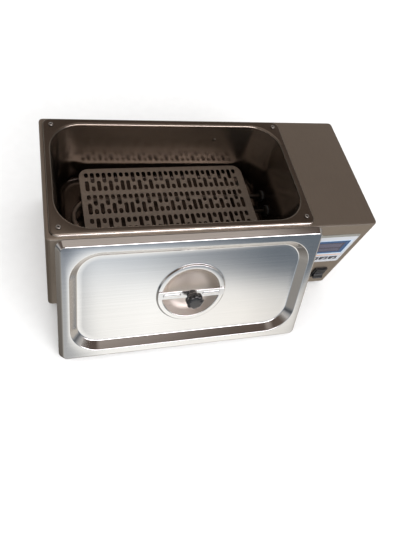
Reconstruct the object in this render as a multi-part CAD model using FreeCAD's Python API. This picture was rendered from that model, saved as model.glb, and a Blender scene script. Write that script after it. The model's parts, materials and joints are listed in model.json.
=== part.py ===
import FreeCAD, Part
import math
import os

# Laboratory water bath: a sheet steel case with a pressed bath pan, a perforated rack over a
# U-shaped heater, a control section at the right-hand end, and the bath lid leaning on the front.
# Millimetres, +Z up, controls facing -Y. Everything is drawn with Y = 0 at the middle of the case;
# each node is then moved so that the origin lies on the bench under the middle of the whole bath.

V = FreeCAD.Vector
X_AXIS = V(1, 0, 0)
Y_AXIS = V(0, 1, 0)
Z_AXIS = V(0, 0, 1)

# Case
case_height = 162.0
case_sheet = 1.0
case_corner_radius = 5.0
case_fold_radius = 2.0
case_lip_width = 12.0

# Short flats that stand for each rounded corner
wide_corner_count = 6
flange_corner_count = 4
small_corner_count = 3
fold_count = 2
floor_count = 2
shoulder_count = 2
dish_sides = 32

# Base plate and feet
base_sheet = 1.2
base_inset = 1.0
foot_height = 5.0
foot_diameter = 20.0
foot_taper = 1.0
foot_inset_x = 30.0
foot_inset_y = 21.0
vent_count = 7
vent_width = 3.0
vent_length = 44.0
base_screw_columns = (-1, 1)
foot_sides = 12
vent_pitch = 8.0

# Bath pan
opening_length = 309.0
opening_depth = 157.0
opening_corner_radius = 40.0
flange_end_width = 8.0
flange_side_width = 9.5
flange_corner_radius = 10.0
flange_raise = 3.0
flange_edge_radius = 2.2
pan_sheet = 0.8
pan_depth = 100.0
pan_taper = 5.0
lip_radius = 3.0
floor_radius = 12.0
pan_cutout_clearance = 1.2
pan_end_gap = 4.0
pan_side_gap = 3.0
control_width = 91.0

# Seal between the pan flange and the case top, and the flange screws
seal_inset = 2.2
seal_lip_gap = 3.0
flange_screw_end_inset = 10.5
flange_screw_side_inset = 11.0

# Rack over the heater
rack_end_gap = 34.5
rack_side_gap = 17.0
rack_sheet = 1.0
rack_corner_radius = 14.0
rack_height = 27.0
rack_x = 3.2
rack_y = 6.0
rack_turn = 1.0
column_pitch = 8.05
column_inset = 9.8
band_pitch = 38.1
band_inset = 6.8
hole_width = 5.4
short_hole = 8.6
long_hole = 17.8
hole_gap = 5.5
hole_end_count = 2
pattern_shifts = (7, 13, 19)
rack_leg_width = 10.0
rack_leg_flange = 6.0
rack_leg_edge_gap = 1.0
rack_leg_rear_inset = 27.5
rack_leg_front_inset = 7.5

# Heater, probe and their wall fittings
tube_sides = 8
tube_diameter = 8.0
heater_front_gap = 42.2
heater_rear_gap = 60.2
heater_bend_gap = 53.0
fitting_height = 17.0
fitting_thread = 12.0
fitting_collar = 17.0
fitting_collar_thickness = 2.0
fitting_bore_clearance = 0.1
fitting_hole_clearance = 0.15
fitting_seal_thickness = 1.6
fitting_nut_flats = 16.0
fitting_nut_thickness = 4.0
fitting_tail = 2.0
terminal_diameter = 3.0
terminal_length = 9.0
probe_diameter = 5.0
probe_length = 62.0
probe_tip = 2.0

# Insulation boards and over-temperature cutout
insulation_thickness = 8.0
insulation_bottom = 12.0
insulation_case_gap = 0.2
insulation_top_gap = 6.0
insulation_end_gap = 12.0
insulation_cutout_gap = 4.0
cutout_x = 70.3
cutout_drop = 22.0
cutout_diameter = 15.0
cutout_height = 7.5
cutout_ear = 13.0
cutout_ear_width = 8.0
cutout_ear_thickness = 1.0
rivet_diameter = 3.0
rivet_head = 5.6
rivet_head_height = 1.1
rivet_crown = 3.4
rivet_tail = 1.2
rivet_tail_diameter = 4.5

# Divider between the tank space and the control space
divider_pan_gap = 5.0
divider_sheet = 1.0
divider_foot = 9.0
divider_side_gap = 1.0
divider_top_gap = 2.0
divider_window_width = 38.0
divider_window_height = 22.0

# Control panel on the case front
panel_offset = 1.5
label_width = 70.0
label_height = 72.0
label_thickness = 0.5
label_corner_radius = 2.0
label_drop = 23.0
window_width = 57.0
window_height = 31.0
window_drop = 39.0
window_thickness = 1.5
window_clearance = 0.2
display_margin = 1.5
display_thickness = 5.0
board_thickness = 1.6
board_width = 66.0
board_height = 72.0
board_space = 6.0
board_post_x = 29.0
board_post_z = 32.5
board_post_width = 5.0

# Keys
key_count = 4
key_pitch = 15.0
key_width = 12.0
key_height = 6.5
key_drop = 84.3
key_stand = 0.8
key_travel = 0.8
key_edge = 0.5
key_clearance = 0.2
key_flange_margin = 0.7
key_flange_thickness = 0.8
key_flange_play = 0.2
key_post_width = 3.0
key_post_gap = 0.3
key_switch_size = 6.0
key_switch_height = 3.6

# Power switch
switch_inset = 26.5
switch_drop = 128.0
bezel_width = 21.0
bezel_height = 24.0
bezel_thickness = 2.0
bezel_corner_radius = 1.5
switch_body_margin = 1.2
switch_body_depth = 16.0
rocker_width = 15.2
rocker_height = 18.6
rocker_stand = 5.4
rocker_hollow = 2.2
rocker_belly = 5.0
rocker_shoulder = 1.0
rocker_shoulder_half = 9.0
rocker_foot_half = 4.2
rocker_swing_gap = 1.0
rocker_tilt = 12.0
rocker_side_clearance = 0.3
rocker_end_clearance = 1.0
pivot_diameter = 3.0
pivot_reach = 0.9
pivot_clearance = 0.08
tab_width = 4.8
tab_thickness = 0.8
tab_length = 8.0
tab_spacing_x = 8.0
tab_spacing_z = 7.0

# Mains inlet on the back
inlet_z = 45.0
inlet_flange_width = 50.0
inlet_flange_height = 23.0
inlet_flange_thickness = 2.0
inlet_body_width = 27.5
inlet_body_height = 20.0
inlet_body_depth = 16.0
inlet_well_width = 24.4
inlet_well_height = 16.6
inlet_well_depth = 14.0
inlet_corner_radius = 2.0
inlet_pin_width = 2.0
inlet_pin_height = 4.0
inlet_pin_length = 12.0
inlet_pin_spacing = 7.0
inlet_pin_offset = 2.0
inlet_screw_spacing = 40.0

# Power board
power_y = 2.0
power_width = 60.0
power_depth = 104.0
power_stand = 8.0
power_post_x = 26.0
power_post_y = 48.0
transformer_size = (36.0, 30.0, 27.0)
transformer_place = (0.0, -18.0)
coil_size = (20.0, 38.0, 19.0)
relay_size = (28.0, 16.0, 20.0)
relay_place = (-10.0, 14.0)
terminal_block_size = (40.0, 12.0, 13.0)
terminal_block_place = (0.0, 36.0)

# Lid
lid_end_step = 1.5
lid_side_step = 2.0
lid_face_corner_radius = 6.0
lid_flare = 5.0
lid_skirt = 7.0
lid_shoulder_radius = 2.5
lid_sheet = 0.8
recess_end_border = 9.0
recess_side_border = 10.0
recess_corner_radius = 38.0
recess_slope_width = 9.0
recess_depth = 8.5
recess_brow_radius = 1.8
recess_foot_radius = 3.0
ring_inner_radius = 38.4
ring_flat_width = 5.6
ring_slope_width = 1.5
ring_raise = 1.6
ring_margin = 1.0
dish_depth = 9.0
dish_foot_radius = 28.5
dish_foot_round = 14.0
lid_offset = 9.1
lid_tilt = 24.3
lid_lean_gap = 0.15
lid_rim_drop = 1.0

# Lid handle
strap_length = 88.0
strap_width = 11.3
strap_thickness = 1.5
strap_corner_radius = 2.0
strap_rib_length = 24.0
strap_rib_width = 5.0
strap_rib_raise = 0.5
strap_rib_x = 26.0
strap_rib_slope = 1.0
knob_neck_diameter = 14.0
knob_neck_height = 7.0
knob_head_diameter = 23.0
knob_head_height = 11.0
knob_waist = 1.5
knob_waist_height = 4.2
knob_edge = 2.0
knob_underside = 0.75
knob_crown = 0.82
knob_flutes = 8
knob_points_per_flute = 3
knob_flute_depth = 1.2
knob_neck_sides = 12

# Fasteners
head_sides = 6
shank_sides = 6
head_crown = 0.8
m3_radius = 1.5
m3_head_radius = 2.9
m3_head_height = 2.0
screw_tail = 3.0
m4_radius = 2.0
m4_head_radius = 3.6
m4_head_height = 2.6
hole_clearance = 0.15
thread_length = 8.0
thread_end_gap = 0.5
cut_reach = 5.0

# Lengths, heights and places that follow from the sizes above
half_turn = 180.0
flange_length = opening_length + 2 * flange_end_width
flange_depth = opening_depth + 2 * flange_side_width
case_length = pan_end_gap + flange_length + control_width
case_depth = flange_depth + 2 * pan_side_gap
pan_x = pan_end_gap + flange_length / 2 - case_length / 2
divider_x = pan_x + flange_length / 2 + divider_pan_gap
panel_x = case_length / 2 - control_width / 2 - panel_offset
switch_x = case_length / 2 - switch_inset
inlet_x = panel_x
power_x = panel_x
rack_length = opening_length - 2 * rack_end_gap
rack_depth = opening_depth - 2 * rack_side_gap
rack_columns = int((rack_length - 2 * column_inset) / column_pitch) + 1
rack_band_depth = short_hole + hole_gap + long_hole
rack_bands = int((rack_depth - band_inset - rack_band_depth) / band_pitch) + 1
heater_front_y = heater_front_gap - opening_depth / 2
heater_rear_y = opening_depth / 2 - heater_rear_gap
heater_y = (heater_front_y + heater_rear_y) / 2
heater_bend_radius = (heater_rear_y - heater_front_y) / 2
heater_bend_x = heater_bend_gap - opening_length / 2
lid_face_length = flange_length - 2 * lid_end_step
lid_face_depth = flange_depth - 2 * lid_side_step
lid_rim_length = lid_face_length + 2 * lid_flare
lid_rim_depth = lid_face_depth + 2 * lid_flare
recess_length = lid_face_length - 2 * recess_end_border
recess_depth_across = lid_face_depth - 2 * recess_side_border
lid_x = pan_x + lid_offset
case_top = foot_height + case_height
shell_bottom = foot_height + base_sheet
base_top = shell_bottom
pan_top = case_top + flange_raise
pan_floor = pan_top - pan_depth
front_plane = -case_depth / 2
back_plane = case_depth / 2
front_inside = front_plane + case_sheet
back_inside = back_plane - case_sheet
taper_slope = math.tan(math.radians(pan_taper))
rack_top = pan_floor + rack_height
rack_underside = rack_top - rack_sheet
fitting_z = pan_floor + fitting_height
display_z = case_top - window_drop - window_height / 2
label_z = case_top - label_drop - label_height / 2
key_z = case_top - key_drop
switch_z = case_top - switch_drop
board_front = front_inside + board_space
power_board_z = base_top + power_stand


def outline(length, depth, radius, flats, z):
    """Corner points of a rounded rectangle about the Z axis, its corners drawn as short flats."""
    points = []
    for sx, sy, start in ((1, -1, 270), (1, 1, 0), (-1, 1, 90), (-1, -1, 180)):
        for i in range(flats + 1):
            angle = math.radians(start + 90 * i / flats)
            points.append(V(sx * (length / 2 - radius) + radius * math.cos(angle),
                            sy * (depth / 2 - radius) + radius * math.sin(angle), z))
    return points


def regular(sides, radius, z=0.0):
    """Corner points of a regular outline about the Z axis."""
    step = 2 * math.pi / sides
    return [V(radius * math.cos(step * (i + 0.5)), radius * math.sin(step * (i + 0.5)), z)
            for i in range(sides)]


def flat_face(points):
    return Part.Face(Part.makePolygon(points + points[:1]))


def stacked(rings):
    """Solid with flat sides through matching outlines, from the lowest to the highest."""
    faces = [flat_face(rings[0]), flat_face(rings[-1])]
    for low, high in zip(rings, rings[1:]):
        for i in range(len(low)):
            here = i - 1
            faces.append(flat_face([low[here], low[i], high[i], high[here]]))
    return Part.Solid(Part.Shell(faces))


def rounded_block(length, depth, radius, flats, z_low, z_high):
    """Upright block with rounded corners about the Z axis."""
    return stacked([outline(length, depth, radius, flats, z_low),
                    outline(length, depth, radius, flats, z_high)])


def moved_lines(points, distance):
    """Parallel copy of a run of straight lines, moved to the left of their direction."""
    runs = []
    for a, b in zip(points, points[1:]):
        along = (b - a).normalize()
        side = V(-along.y, along.x, 0) * distance
        runs.append((a + side, b - a))
    moved = [runs[0][0]]
    for (a, first), (c, second) in zip(runs, runs[1:]):
        cross = first.x * second.y - first.y * second.x
        reach = ((c.x - a.x) * second.y - (c.y - a.y) * second.x) / cross
        moved.append(a + first * reach)
    moved.append(runs[-1][0] + runs[-1][1])
    return moved


def rounded_path(points, radii, flats):
    """A run of straight lines with each inner corner rounded by short flats."""
    path = [points[0]]
    for before, corner, after, radius, count in zip(points, points[1:], points[2:], radii, flats):
        a = (before - corner).normalize()
        b = (after - corner).normalize()
        half = a.getAngle(b) / 2
        centre = corner + (a + b).normalize() * (radius / math.sin(half))
        start = corner + a * (radius / math.tan(half)) - centre
        end = corner + b * (radius / math.tan(half)) - centre
        turn = math.pi - 2 * half
        for i in range(count + 1):
            share = i / count
            bend = start * math.sin((1 - share) * turn) + end * math.sin(share * turn)
            path.append(centre + bend * (1 / math.sin(turn)))
    path.append(points[-1])
    return path


def follow(length, depth, radius, flats, path):
    """Solid whose outline grows and shrinks with a path of (reach, height) points."""
    return stacked([outline(length + 2 * p.x, depth + 2 * p.x, radius + p.x, flats, p.y)
                    for p in path])


def well(length, depth, radius, path, above):
    """Solid that fills a hollow; its path runs from the rim down to the floor."""
    inner = path[-2:0:-1]
    if above > 0:
        inner.append(inner[-1] + V(0, above, 0))
    return follow(length, depth, radius, wide_corner_count, inner)


def box(x_low, x_high, y_low, y_high, z_low, z_high):
    """Plain block between two corners."""
    return Part.makeBox(x_high - x_low, y_high - y_low, z_high - z_low, V(x_low, y_low, z_low))


def centred_box(size, centre):
    """Plain block of a size about a centre."""
    corner = V(*[c - s / 2 for c, s in zip(centre, size)])
    return Part.makeBox(size[0], size[1], size[2], corner)


def rod(radius, start, direction, length):
    """Round bar from a point along a direction."""
    return Part.makeCylinder(radius, length, start, direction)


def placed(shape, start, direction):
    """Turn a shape drawn up the Z axis along a direction and set it at a point."""
    shape.Placement = FreeCAD.Placement(start, FreeCAD.Rotation(Z_AXIS, direction))
    return shape


def bar(sides, radius, start, direction, length):
    """Straight bar with a regular outline; the radius reaches its corners."""
    return placed(stacked([regular(sides, radius), regular(sides, radius, length)]), start,
                  direction)


def nut(flats, height, start, direction, bore_radius, bore_sides):
    """Hexagonal nut with its bore."""
    body = stacked([regular(6, flats / math.sqrt(3)), regular(6, flats / math.sqrt(3), height)])
    bore = stacked([regular(bore_sides, bore_radius), regular(bore_sides, bore_radius, height)])
    return placed(body.cut(bore), start, direction)


def screw(head_radius, head_height, radius, length, seat, direction):
    """Pan head screw: the head rises from the seat, the shank runs along the direction."""
    rise = head_height * (1 - head_crown / 2)
    head = stacked([regular(head_sides, head_radius), regular(head_sides, head_radius, rise),
                    regular(head_sides, head_radius * head_crown, head_height)])
    shank = stacked([regular(shank_sides, radius, -length), regular(shank_sides, radius)])
    return placed(head.fuse(shank), seat, direction * -1)


def mirrored_points(half_x, half_y, centre_x=0.0, centre_y=0.0):
    """Four points about a centre."""
    return [(centre_x + sx * half_x, centre_y + sy * half_y) for sx in (-1, 1) for sy in (-1, 1)]


nodes = {}


def keep(name, shapes):
    """Hold one node, drawn as one solid or a group of separate solids."""
    nodes[name] = shapes if isinstance(shapes, list) else [shapes]


def write_nodes():
    """Centre everything front to back, then write one file for each node."""
    bounds = Part.makeCompound([s for solids in nodes.values() for s in solids]).BoundBox
    shift = V(0, -(bounds.YMin + bounds.YMax) / 2, 0)
    for name, solids in nodes.items():
        shape = solids[0] if len(solids) == 1 else Part.makeCompound(solids)
        shape.translated(shift).exportStep("parts/" + name + ".step")


# Outlines, hollows and places that several pieces share

def tub_path(offset):
    """Half section of the pan's well, from the flange over the lip and down to the floor."""
    foot = -pan_depth * taper_slope
    corners = [V(2 * lip_radius, pan_top, 0), V(0, pan_top, 0), V(foot, pan_floor, 0),
               V(foot - 2 * floor_radius, pan_floor, 0)]
    return rounded_path(moved_lines(corners, offset),
                        (lip_radius - offset, floor_radius + offset), (fold_count, floor_count))


def tub(offset, above=0.0):
    """Solid inside the pan wall, grown outward by a distance."""
    return well(opening_length, opening_depth, opening_corner_radius, tub_path(offset), above)


def in_pan(shape):
    """Move a shape drawn about the pan's middle to the pan's place."""
    return shape.translated(V(pan_x, 0, 0))


def flange_screw_points():
    return mirrored_points(flange_length / 2 - flange_screw_end_inset,
                           flange_depth / 2 - flange_screw_side_inset, pan_x)


def base_screw_points():
    lip_y = case_depth / 2 - case_sheet - case_lip_width / 2
    lip_x = case_length / 2 - case_lip_width
    return [(sx * lip_x, sy * lip_y) for sx in base_screw_columns for sy in (-1, 1)]


def foot_points():
    return mirrored_points(case_length / 2 - foot_inset_x, case_depth / 2 - foot_inset_y)


def edge_path(z_low, z_high, radius, offset):
    """Half section of an upright side that folds over into a flat top."""
    corners = [V(0, z_low, 0), V(0, z_high, 0), V(-3 * radius, z_high, 0)]
    return rounded_path(moved_lines(corners, offset), (radius - offset,), (fold_count,))[:-1]


def case_skin(offset):
    """Block under the case surface, set in by an offset."""
    return follow(case_length, case_depth, case_corner_radius, small_corner_count,
                  edge_path(shell_bottom, case_top, case_fold_radius, offset))


def front_box(width, height, x, z, y_low, y_high):
    """Block seen square from the front."""
    return box(x - width / 2, x + width / 2, y_low, y_high, z - height / 2, z + height / 2)


def front_plate(width, height, radius, x, z, y_low, y_high):
    """Rounded plate seen square from the front."""
    plate = rounded_block(width, height, radius, small_corner_count, 0, y_high - y_low)
    plate = plate.rotated(V(0, 0, 0), X_AXIS, -90)
    return plate.translated(V(x, y_low, z))


def key_points():
    return [panel_x + (i - (key_count - 1) / 2) * key_pitch for i in range(key_count)]


def panel_holes(y_low, y_high):
    """Window and key holes shared by the label and the case front."""
    holes = [front_box(window_width + 2 * window_clearance, window_height + 2 * window_clearance,
                       panel_x, display_z, y_low, y_high)]
    for x in key_points():
        holes.append(front_box(key_width + 2 * key_clearance, key_height + 2 * key_clearance, x,
                               key_z, y_low, y_high))
    return holes


def screw_hole(x, y, z, direction, length):
    """Clearance hole tool for a small screw."""
    return bar(shank_sides, m3_radius + hole_clearance, V(x, y, z), direction, length)


# Case, base plate and feet

def make_case_shell():
    """Folded and welded case: top, four sides and two long fixing lips, open below."""
    shell = case_skin(0).cut(case_skin(case_sheet))
    lips = []
    for side in (-1, 1):
        inner = side * (case_depth / 2 - case_sheet - case_lip_width)
        outer = side * (case_depth / 2 - case_sheet / 2)
        lips.append(box(-case_length / 2 + case_corner_radius, case_length / 2 - case_corner_radius,
                        min(inner, outer), max(inner, outer),
                        shell_bottom, shell_bottom + case_sheet))
    shell = shell.multiFuse(lips).removeSplitter()
    grown = pan_sheet + pan_cutout_clearance
    tools = [in_pan(rounded_block(opening_length + 2 * grown, opening_depth + 2 * grown,
                                  opening_corner_radius + grown, wide_corner_count,
                                  case_top - 2 * case_sheet, pan_top))]
    for x, y in flange_screw_points():
        tools.append(screw_hole(x, y, case_top - 2 * case_sheet, Z_AXIS, 3 * case_sheet))
    for x, y in base_screw_points():
        tools.append(screw_hole(x, y, shell_bottom - case_sheet, Z_AXIS, 3 * case_sheet))
    tools += panel_holes(front_plane - 1, front_inside + 1)
    tools.append(front_box(bezel_width - 2 * switch_body_margin + 2 * hole_clearance,
                           bezel_height - 2 * switch_body_margin + 2 * hole_clearance,
                           switch_x, switch_z, front_plane - 1, front_inside + 1))
    tools.append(front_box(inlet_body_width + 2 * hole_clearance,
                           inlet_body_height + 2 * hole_clearance,
                           inlet_x, inlet_z, back_inside - 1, back_plane + 1))
    for side in (-1, 1):
        tools.append(screw_hole(inlet_x + side * inlet_screw_spacing / 2, back_inside - 1, inlet_z,
                                Y_AXIS, case_sheet + 2))
    return shell.cut(tools)


def make_base_plate():
    """Bottom cover with screw holes and vents under the control space."""
    plate = rounded_block(case_length - 2 * base_inset, case_depth - 2 * base_inset,
                          case_corner_radius - base_inset, small_corner_count, foot_height,
                          base_top)
    low = foot_height - 1
    through = base_sheet + 2
    tools = [screw_hole(x, y, low, Z_AXIS, through) for x, y in base_screw_points()]
    for i in range(vent_count):
        x = power_x + (i - (vent_count - 1) / 2) * vent_pitch
        tools.append(box(x - vent_width / 2, x + vent_width / 2, power_y - vent_length / 2,
                         power_y + vent_length / 2, low, low + through))
    return plate.cut(tools)


def make_feet():
    """Four tapered rubber feet, bonded under the base plate."""
    radius = foot_diameter / 2
    return [stacked([regular(foot_sides, radius - foot_taper),
                     regular(foot_sides, radius, foot_height)]).translated(V(x, y, 0))
            for x, y in foot_points()]


def make_base_screws():
    return [screw(m3_head_radius, m3_head_height, m3_radius, base_sheet + case_sheet + screw_tail,
                  V(x, y, foot_height), Z_AXIS) for x, y in base_screw_points()]


# Bath pan, its seal and screws

def flange_block(offset, z_low):
    """Block under the rolled flange, set in by an offset."""
    return follow(flange_length, flange_depth, flange_corner_radius, flange_corner_count,
                  edge_path(z_low, pan_top, flange_edge_radius, offset))


def wall_x(z, grow=0.0):
    """X of the pan's right-hand wall, in the pan's own frame."""
    return opening_length / 2 - (pan_top - z) * taper_slope + grow


def fitting_ys():
    """The front heater leg, the probe and the rear heater leg."""
    return [heater_y - heater_bend_radius, heater_y, heater_y + heater_bend_radius]


def cutout_place(shape):
    """Set a shape drawn along +Y against the outer face of the tapered back wall."""
    z = case_top - cutout_drop
    y = opening_depth / 2 - (pan_top - z) * taper_slope
    tilted = shape.rotated(V(0, 0, 0), X_AXIS, -pan_taper)
    return in_pan(tilted.translated(V(cutout_x, y, z)))


def make_bath_pan():
    """Pressed one-piece pan: rolled flange, lip, tapered walls and rounded floor."""
    outer = tub(pan_sheet)
    under_flange = flange_block(pan_sheet, case_top - 1).cut(outer)
    sheet = in_pan(flange_block(0, case_top).fuse(outer).cut([tub(0, 1.0), under_flange]))
    tools = [screw_hole(x, y, case_top, Z_AXIS, flange_raise + 1) for x, y in flange_screw_points()]
    for y in fitting_ys():
        tools.append(in_pan(bar(tube_sides, fitting_thread / 2 + fitting_hole_clearance,
                                V(wall_x(fitting_z) - cut_reach, y, fitting_z), X_AXIS,
                                2 * cut_reach)))
    tools.append(cutout_place(bar(shank_sides, rivet_diameter / 2 + hole_clearance, V(0, -cut_reach, 0),
                                  Y_AXIS, 2 * cut_reach)))
    return sheet.cut(tools)


def make_flange_seal():
    """Flat seal that fills the height between the case top and the pan flange."""
    top = pan_top - pan_sheet
    seal = rounded_block(flange_length - 2 * pan_sheet - 2 * seal_inset,
                         flange_depth - 2 * pan_sheet - 2 * seal_inset,
                         flange_corner_radius - pan_sheet, flange_corner_count, case_top, top)
    inner = rounded_block(opening_length + 2 * seal_lip_gap, opening_depth + 2 * seal_lip_gap,
                          opening_corner_radius + seal_lip_gap, wide_corner_count, case_top, top)
    seal = in_pan(seal.cut(inner))
    return seal.cut([screw_hole(x, y, case_top, Z_AXIS, flange_raise)
                     for x, y in flange_screw_points()])


def make_flange_screws():
    length = flange_raise + case_sheet + screw_tail
    return [screw(m3_head_radius, m3_head_height, m3_radius, length, V(x, y, pan_top), Z_AXIS * -1)
            for x, y in flange_screw_points()]


# Rack

def hole_tool(length, x, y_back):
    """Slot along Y with its ends as short flats, running forward from its back end."""
    r = hole_width / 2
    step = 180 / hole_end_count
    points = []
    for middle, start in ((y_back - r, 0), (y_back - length + r, 180)):
        for i in range(hole_end_count + 1):
            angle = math.radians(start + step * i)
            points.append(V(x + r * math.cos(angle), middle + r * math.sin(angle),
                            -rack_sheet))
    return flat_face(points).extrude(V(0, 0, 3 * rack_sheet))


def short_hole_first(column):
    """The short and long holes swap places from column to column, with a few repeats."""
    shifts = sum(1 for first in pattern_shifts if column >= first)
    return (column + shifts) % 2 == 0


def rack_place(shape):
    """Set a shape drawn about the rack's middle onto the pan floor."""
    turned = shape.rotated(V(0, 0, 0), Z_AXIS, rack_turn)
    return in_pan(turned.translated(V(rack_x, rack_y, 0)))


def make_rack_plate():
    """Perforated plate: bands of paired short and long holes."""
    plate = rounded_block(rack_length, rack_depth, rack_corner_radius, flange_corner_count, 0,
                          rack_sheet)
    holes = []
    for column in range(rack_columns):
        x = -rack_length / 2 + column_inset + column * column_pitch
        lengths = (short_hole, long_hole) if short_hole_first(column) else (long_hole, short_hole)
        for band in range(rack_bands):
            y = rack_depth / 2 - band_inset - band * band_pitch
            holes.append(hole_tool(lengths[0], x, y))
            holes.append(hole_tool(lengths[1], x, y - lengths[0] - hole_gap))
    plate = plate.cut(holes)
    return rack_place(plate.translated(V(0, 0, rack_underside)))


def make_rack_legs():
    """Four folded strips welded under the end margins of the plate."""
    legs = []
    for side in (-1, 1):
        outer = rack_length / 2 - rack_leg_edge_gap
        inner = outer - rack_leg_flange
        for y in (rack_leg_front_inset - rack_depth / 2, rack_depth / 2 - rack_leg_rear_inset):
            y_low = y - rack_leg_width / 2
            y_high = y + rack_leg_width / 2
            flange = box(inner, outer, y_low, y_high, rack_underside - rack_sheet, rack_underside)
            web = box(inner, inner + rack_sheet, y_low, y_high, pan_floor, rack_underside)
            leg = flange.fuse(web).removeSplitter()
            if side < 0:
                leg = leg.mirror(V(0, 0, 0), X_AXIS)
            legs.append(rack_place(leg))
    return legs


# Heater, probe and fittings

def thread_end():
    """X where the fitting threads end outside the pan wall."""
    return wall_x(fitting_z, pan_sheet + fitting_seal_thickness + fitting_nut_thickness
                  + fitting_tail / 2)


def tube_end():
    return thread_end() + fitting_tail / 2


def make_heater_tube():
    """Closed sheathed heating element: two level legs joined by a round bend."""
    r = tube_diameter / 2
    start = V(heater_bend_x, heater_y + heater_bend_radius, fitting_z)
    legs = [bar(tube_sides, r, V(heater_bend_x, y, fitting_z), X_AXIS, tube_end() - heater_bend_x)
            for y in fitting_ys()[::2]]
    section = placed(flat_face(regular(tube_sides, r)), start, X_AXIS)
    bend = section.revolve(V(heater_bend_x, heater_y, 0), Z_AXIS, half_turn)
    return in_pan(bend.multiFuse(legs).removeSplitter())


def fitting_ring(outer, x_low, x_high, y, bore):
    """Ring about a fitting's axis."""
    ring = bar(tube_sides, outer, V(x_low, y, fitting_z), X_AXIS, x_high - x_low)
    return ring.cut(bar(tube_sides, bore, V(x_low, y, fitting_z), X_AXIS, x_high - x_low))


def fitting_bores():
    tube = tube_diameter / 2 + fitting_bore_clearance
    return [tube, probe_diameter / 2 + fitting_bore_clearance, tube]


def make_fittings():
    """Threaded collars that carry the heater legs and the probe through the wall."""
    collar_end = wall_x(fitting_z) - fitting_seal_thickness
    parts = []
    for y, bore in zip(fitting_ys(), fitting_bores()):
        collar = fitting_ring(fitting_collar / 2, collar_end - fitting_collar_thickness,
                              collar_end, y, bore)
        thread = fitting_ring(fitting_thread / 2, collar_end, thread_end(), y, bore)
        parts.append(in_pan(collar.fuse(thread).removeSplitter()))
    return parts


def make_fitting_seals():
    """Soft rings inside and outside the tapered wall, each pressed to the wall's slope."""
    low = wall_x(fitting_z) - fitting_seal_thickness
    high = wall_x(fitting_z) + fitting_seal_thickness
    rings = []
    for y in fitting_ys():
        inner = fitting_ring(fitting_collar / 2, low, high, y, fitting_thread / 2)
        outer = fitting_ring(fitting_collar / 2, low, high + pan_sheet, y, fitting_thread / 2)
        rings.append(in_pan(inner.common(tub(0))))
        rings.append(in_pan(outer.cut(tub(pan_sheet))))
    return rings


def make_fitting_nuts():
    x = wall_x(fitting_z, pan_sheet + fitting_seal_thickness)
    return [in_pan(nut(fitting_nut_flats, fitting_nut_thickness, V(x, y, fitting_z), X_AXIS,
                       fitting_thread / 2, tube_sides)) for y in fitting_ys()]


def make_heater_terminals():
    return [in_pan(bar(shank_sides, terminal_diameter / 2, V(tube_end(), y, fitting_z), X_AXIS,
                       terminal_length)) for y in fitting_ys()[::2]]


def make_temperature_probe():
    """Closed probe tube with a tapered tip, lying between the heater legs."""
    r = probe_diameter / 2
    body = stacked([regular(tube_sides, r), regular(tube_sides, r, probe_length - probe_tip),
                    regular(tube_sides, r / 2, probe_length)])
    return in_pan(placed(body, V(tube_end(), heater_y, fitting_z), X_AXIS * -1))


def make_thermal_cutout():
    """Snap-action disc switch with its fixing ear, flat against the back wall of the pan."""
    body = bar(tube_sides, cutout_diameter / 2, V(-cutout_ear, pan_sheet, 0), Y_AXIS, cutout_height)
    ear = box(-cutout_ear, cutout_ear_width / 2, pan_sheet, pan_sheet + cutout_ear_thickness,
              -cutout_ear_width / 2, cutout_ear_width / 2)
    hole = bar(shank_sides, rivet_diameter / 2 + hole_clearance, V(0, pan_sheet - 1, 0), Y_AXIS, 4)
    return cutout_place(body.fuse(ear).removeSplitter().cut(hole))


def make_cutout_rivet():
    """Rivet through the pan wall: its domed head is the bright dot inside the bath."""
    grip = pan_sheet + cutout_ear_thickness
    head = stacked([regular(head_sides, rivet_head / 2),
                    regular(head_sides, rivet_crown / 2, rivet_head_height)])
    shank = bar(shank_sides, rivet_diameter / 2, V(0, 0, 0), Y_AXIS, grip)
    tail = bar(shank_sides, rivet_tail_diameter / 2, V(0, grip, 0), Y_AXIS, rivet_tail)
    return cutout_place(placed(head, V(0, 0, 0), Y_AXIS * -1).multiFuse([shank, tail]))


def make_insulation():
    """Boards between the pan and the case sides, and one over the fittings by the divider."""
    inset = case_sheet + insulation_case_gap
    x_left = -case_length / 2 + inset
    x_right = divider_x - insulation_end_gap
    y_back = case_depth / 2 - inset
    y_front = -y_back
    top = case_top - case_sheet - insulation_top_gap
    back_top = case_top - cutout_drop - cutout_diameter / 2 - insulation_cutout_gap
    t = insulation_thickness
    return [box(x_left + t, x_right, y_front, y_front + t, insulation_bottom, top),
            box(x_left + t, x_right, y_back - t, y_back, insulation_bottom, back_top),
            box(x_left, x_left + t, y_front + case_lip_width, y_back - case_lip_width,
                insulation_bottom, top)]


# Divider

def make_divider():
    """Upright sheet with a folded foot, welded to the base plate, and a cable window."""
    half = case_depth / 2 - case_sheet - divider_side_gap
    top = case_top - case_sheet - divider_top_gap
    plate = box(divider_x, divider_x + divider_sheet, -half, half, base_top, top)
    foot = box(divider_x, divider_x + divider_foot, -half, half, base_top,
               base_top + divider_sheet)
    relief = case_lip_width + case_sheet
    tools = [box(divider_x - 1, divider_x + divider_foot + 1, s * half - relief, s * half + relief,
                 base_top - 1, base_top + 2 * case_sheet) for s in (-1, 1)]
    tools.append(box(divider_x - 1, divider_x + 2, heater_y - divider_window_width / 2,
                     heater_y + divider_window_width / 2, fitting_z - divider_window_height / 2,
                     fitting_z + divider_window_height / 2))
    return plate.fuse(foot).removeSplitter().cut(tools)


# Control panel

def make_control_label():
    """Printed overlay on the case front with its window and key holes."""
    label = front_plate(label_width, label_height, label_corner_radius, panel_x, label_z,
                        front_plane - label_thickness, front_plane)
    return label.cut(panel_holes(front_plane - label_thickness - 1, front_plane + 1))


def make_display_window():
    return front_box(window_width, window_height, panel_x, display_z,
                     front_plane - label_thickness,
                     front_plane - label_thickness + window_thickness)


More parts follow.
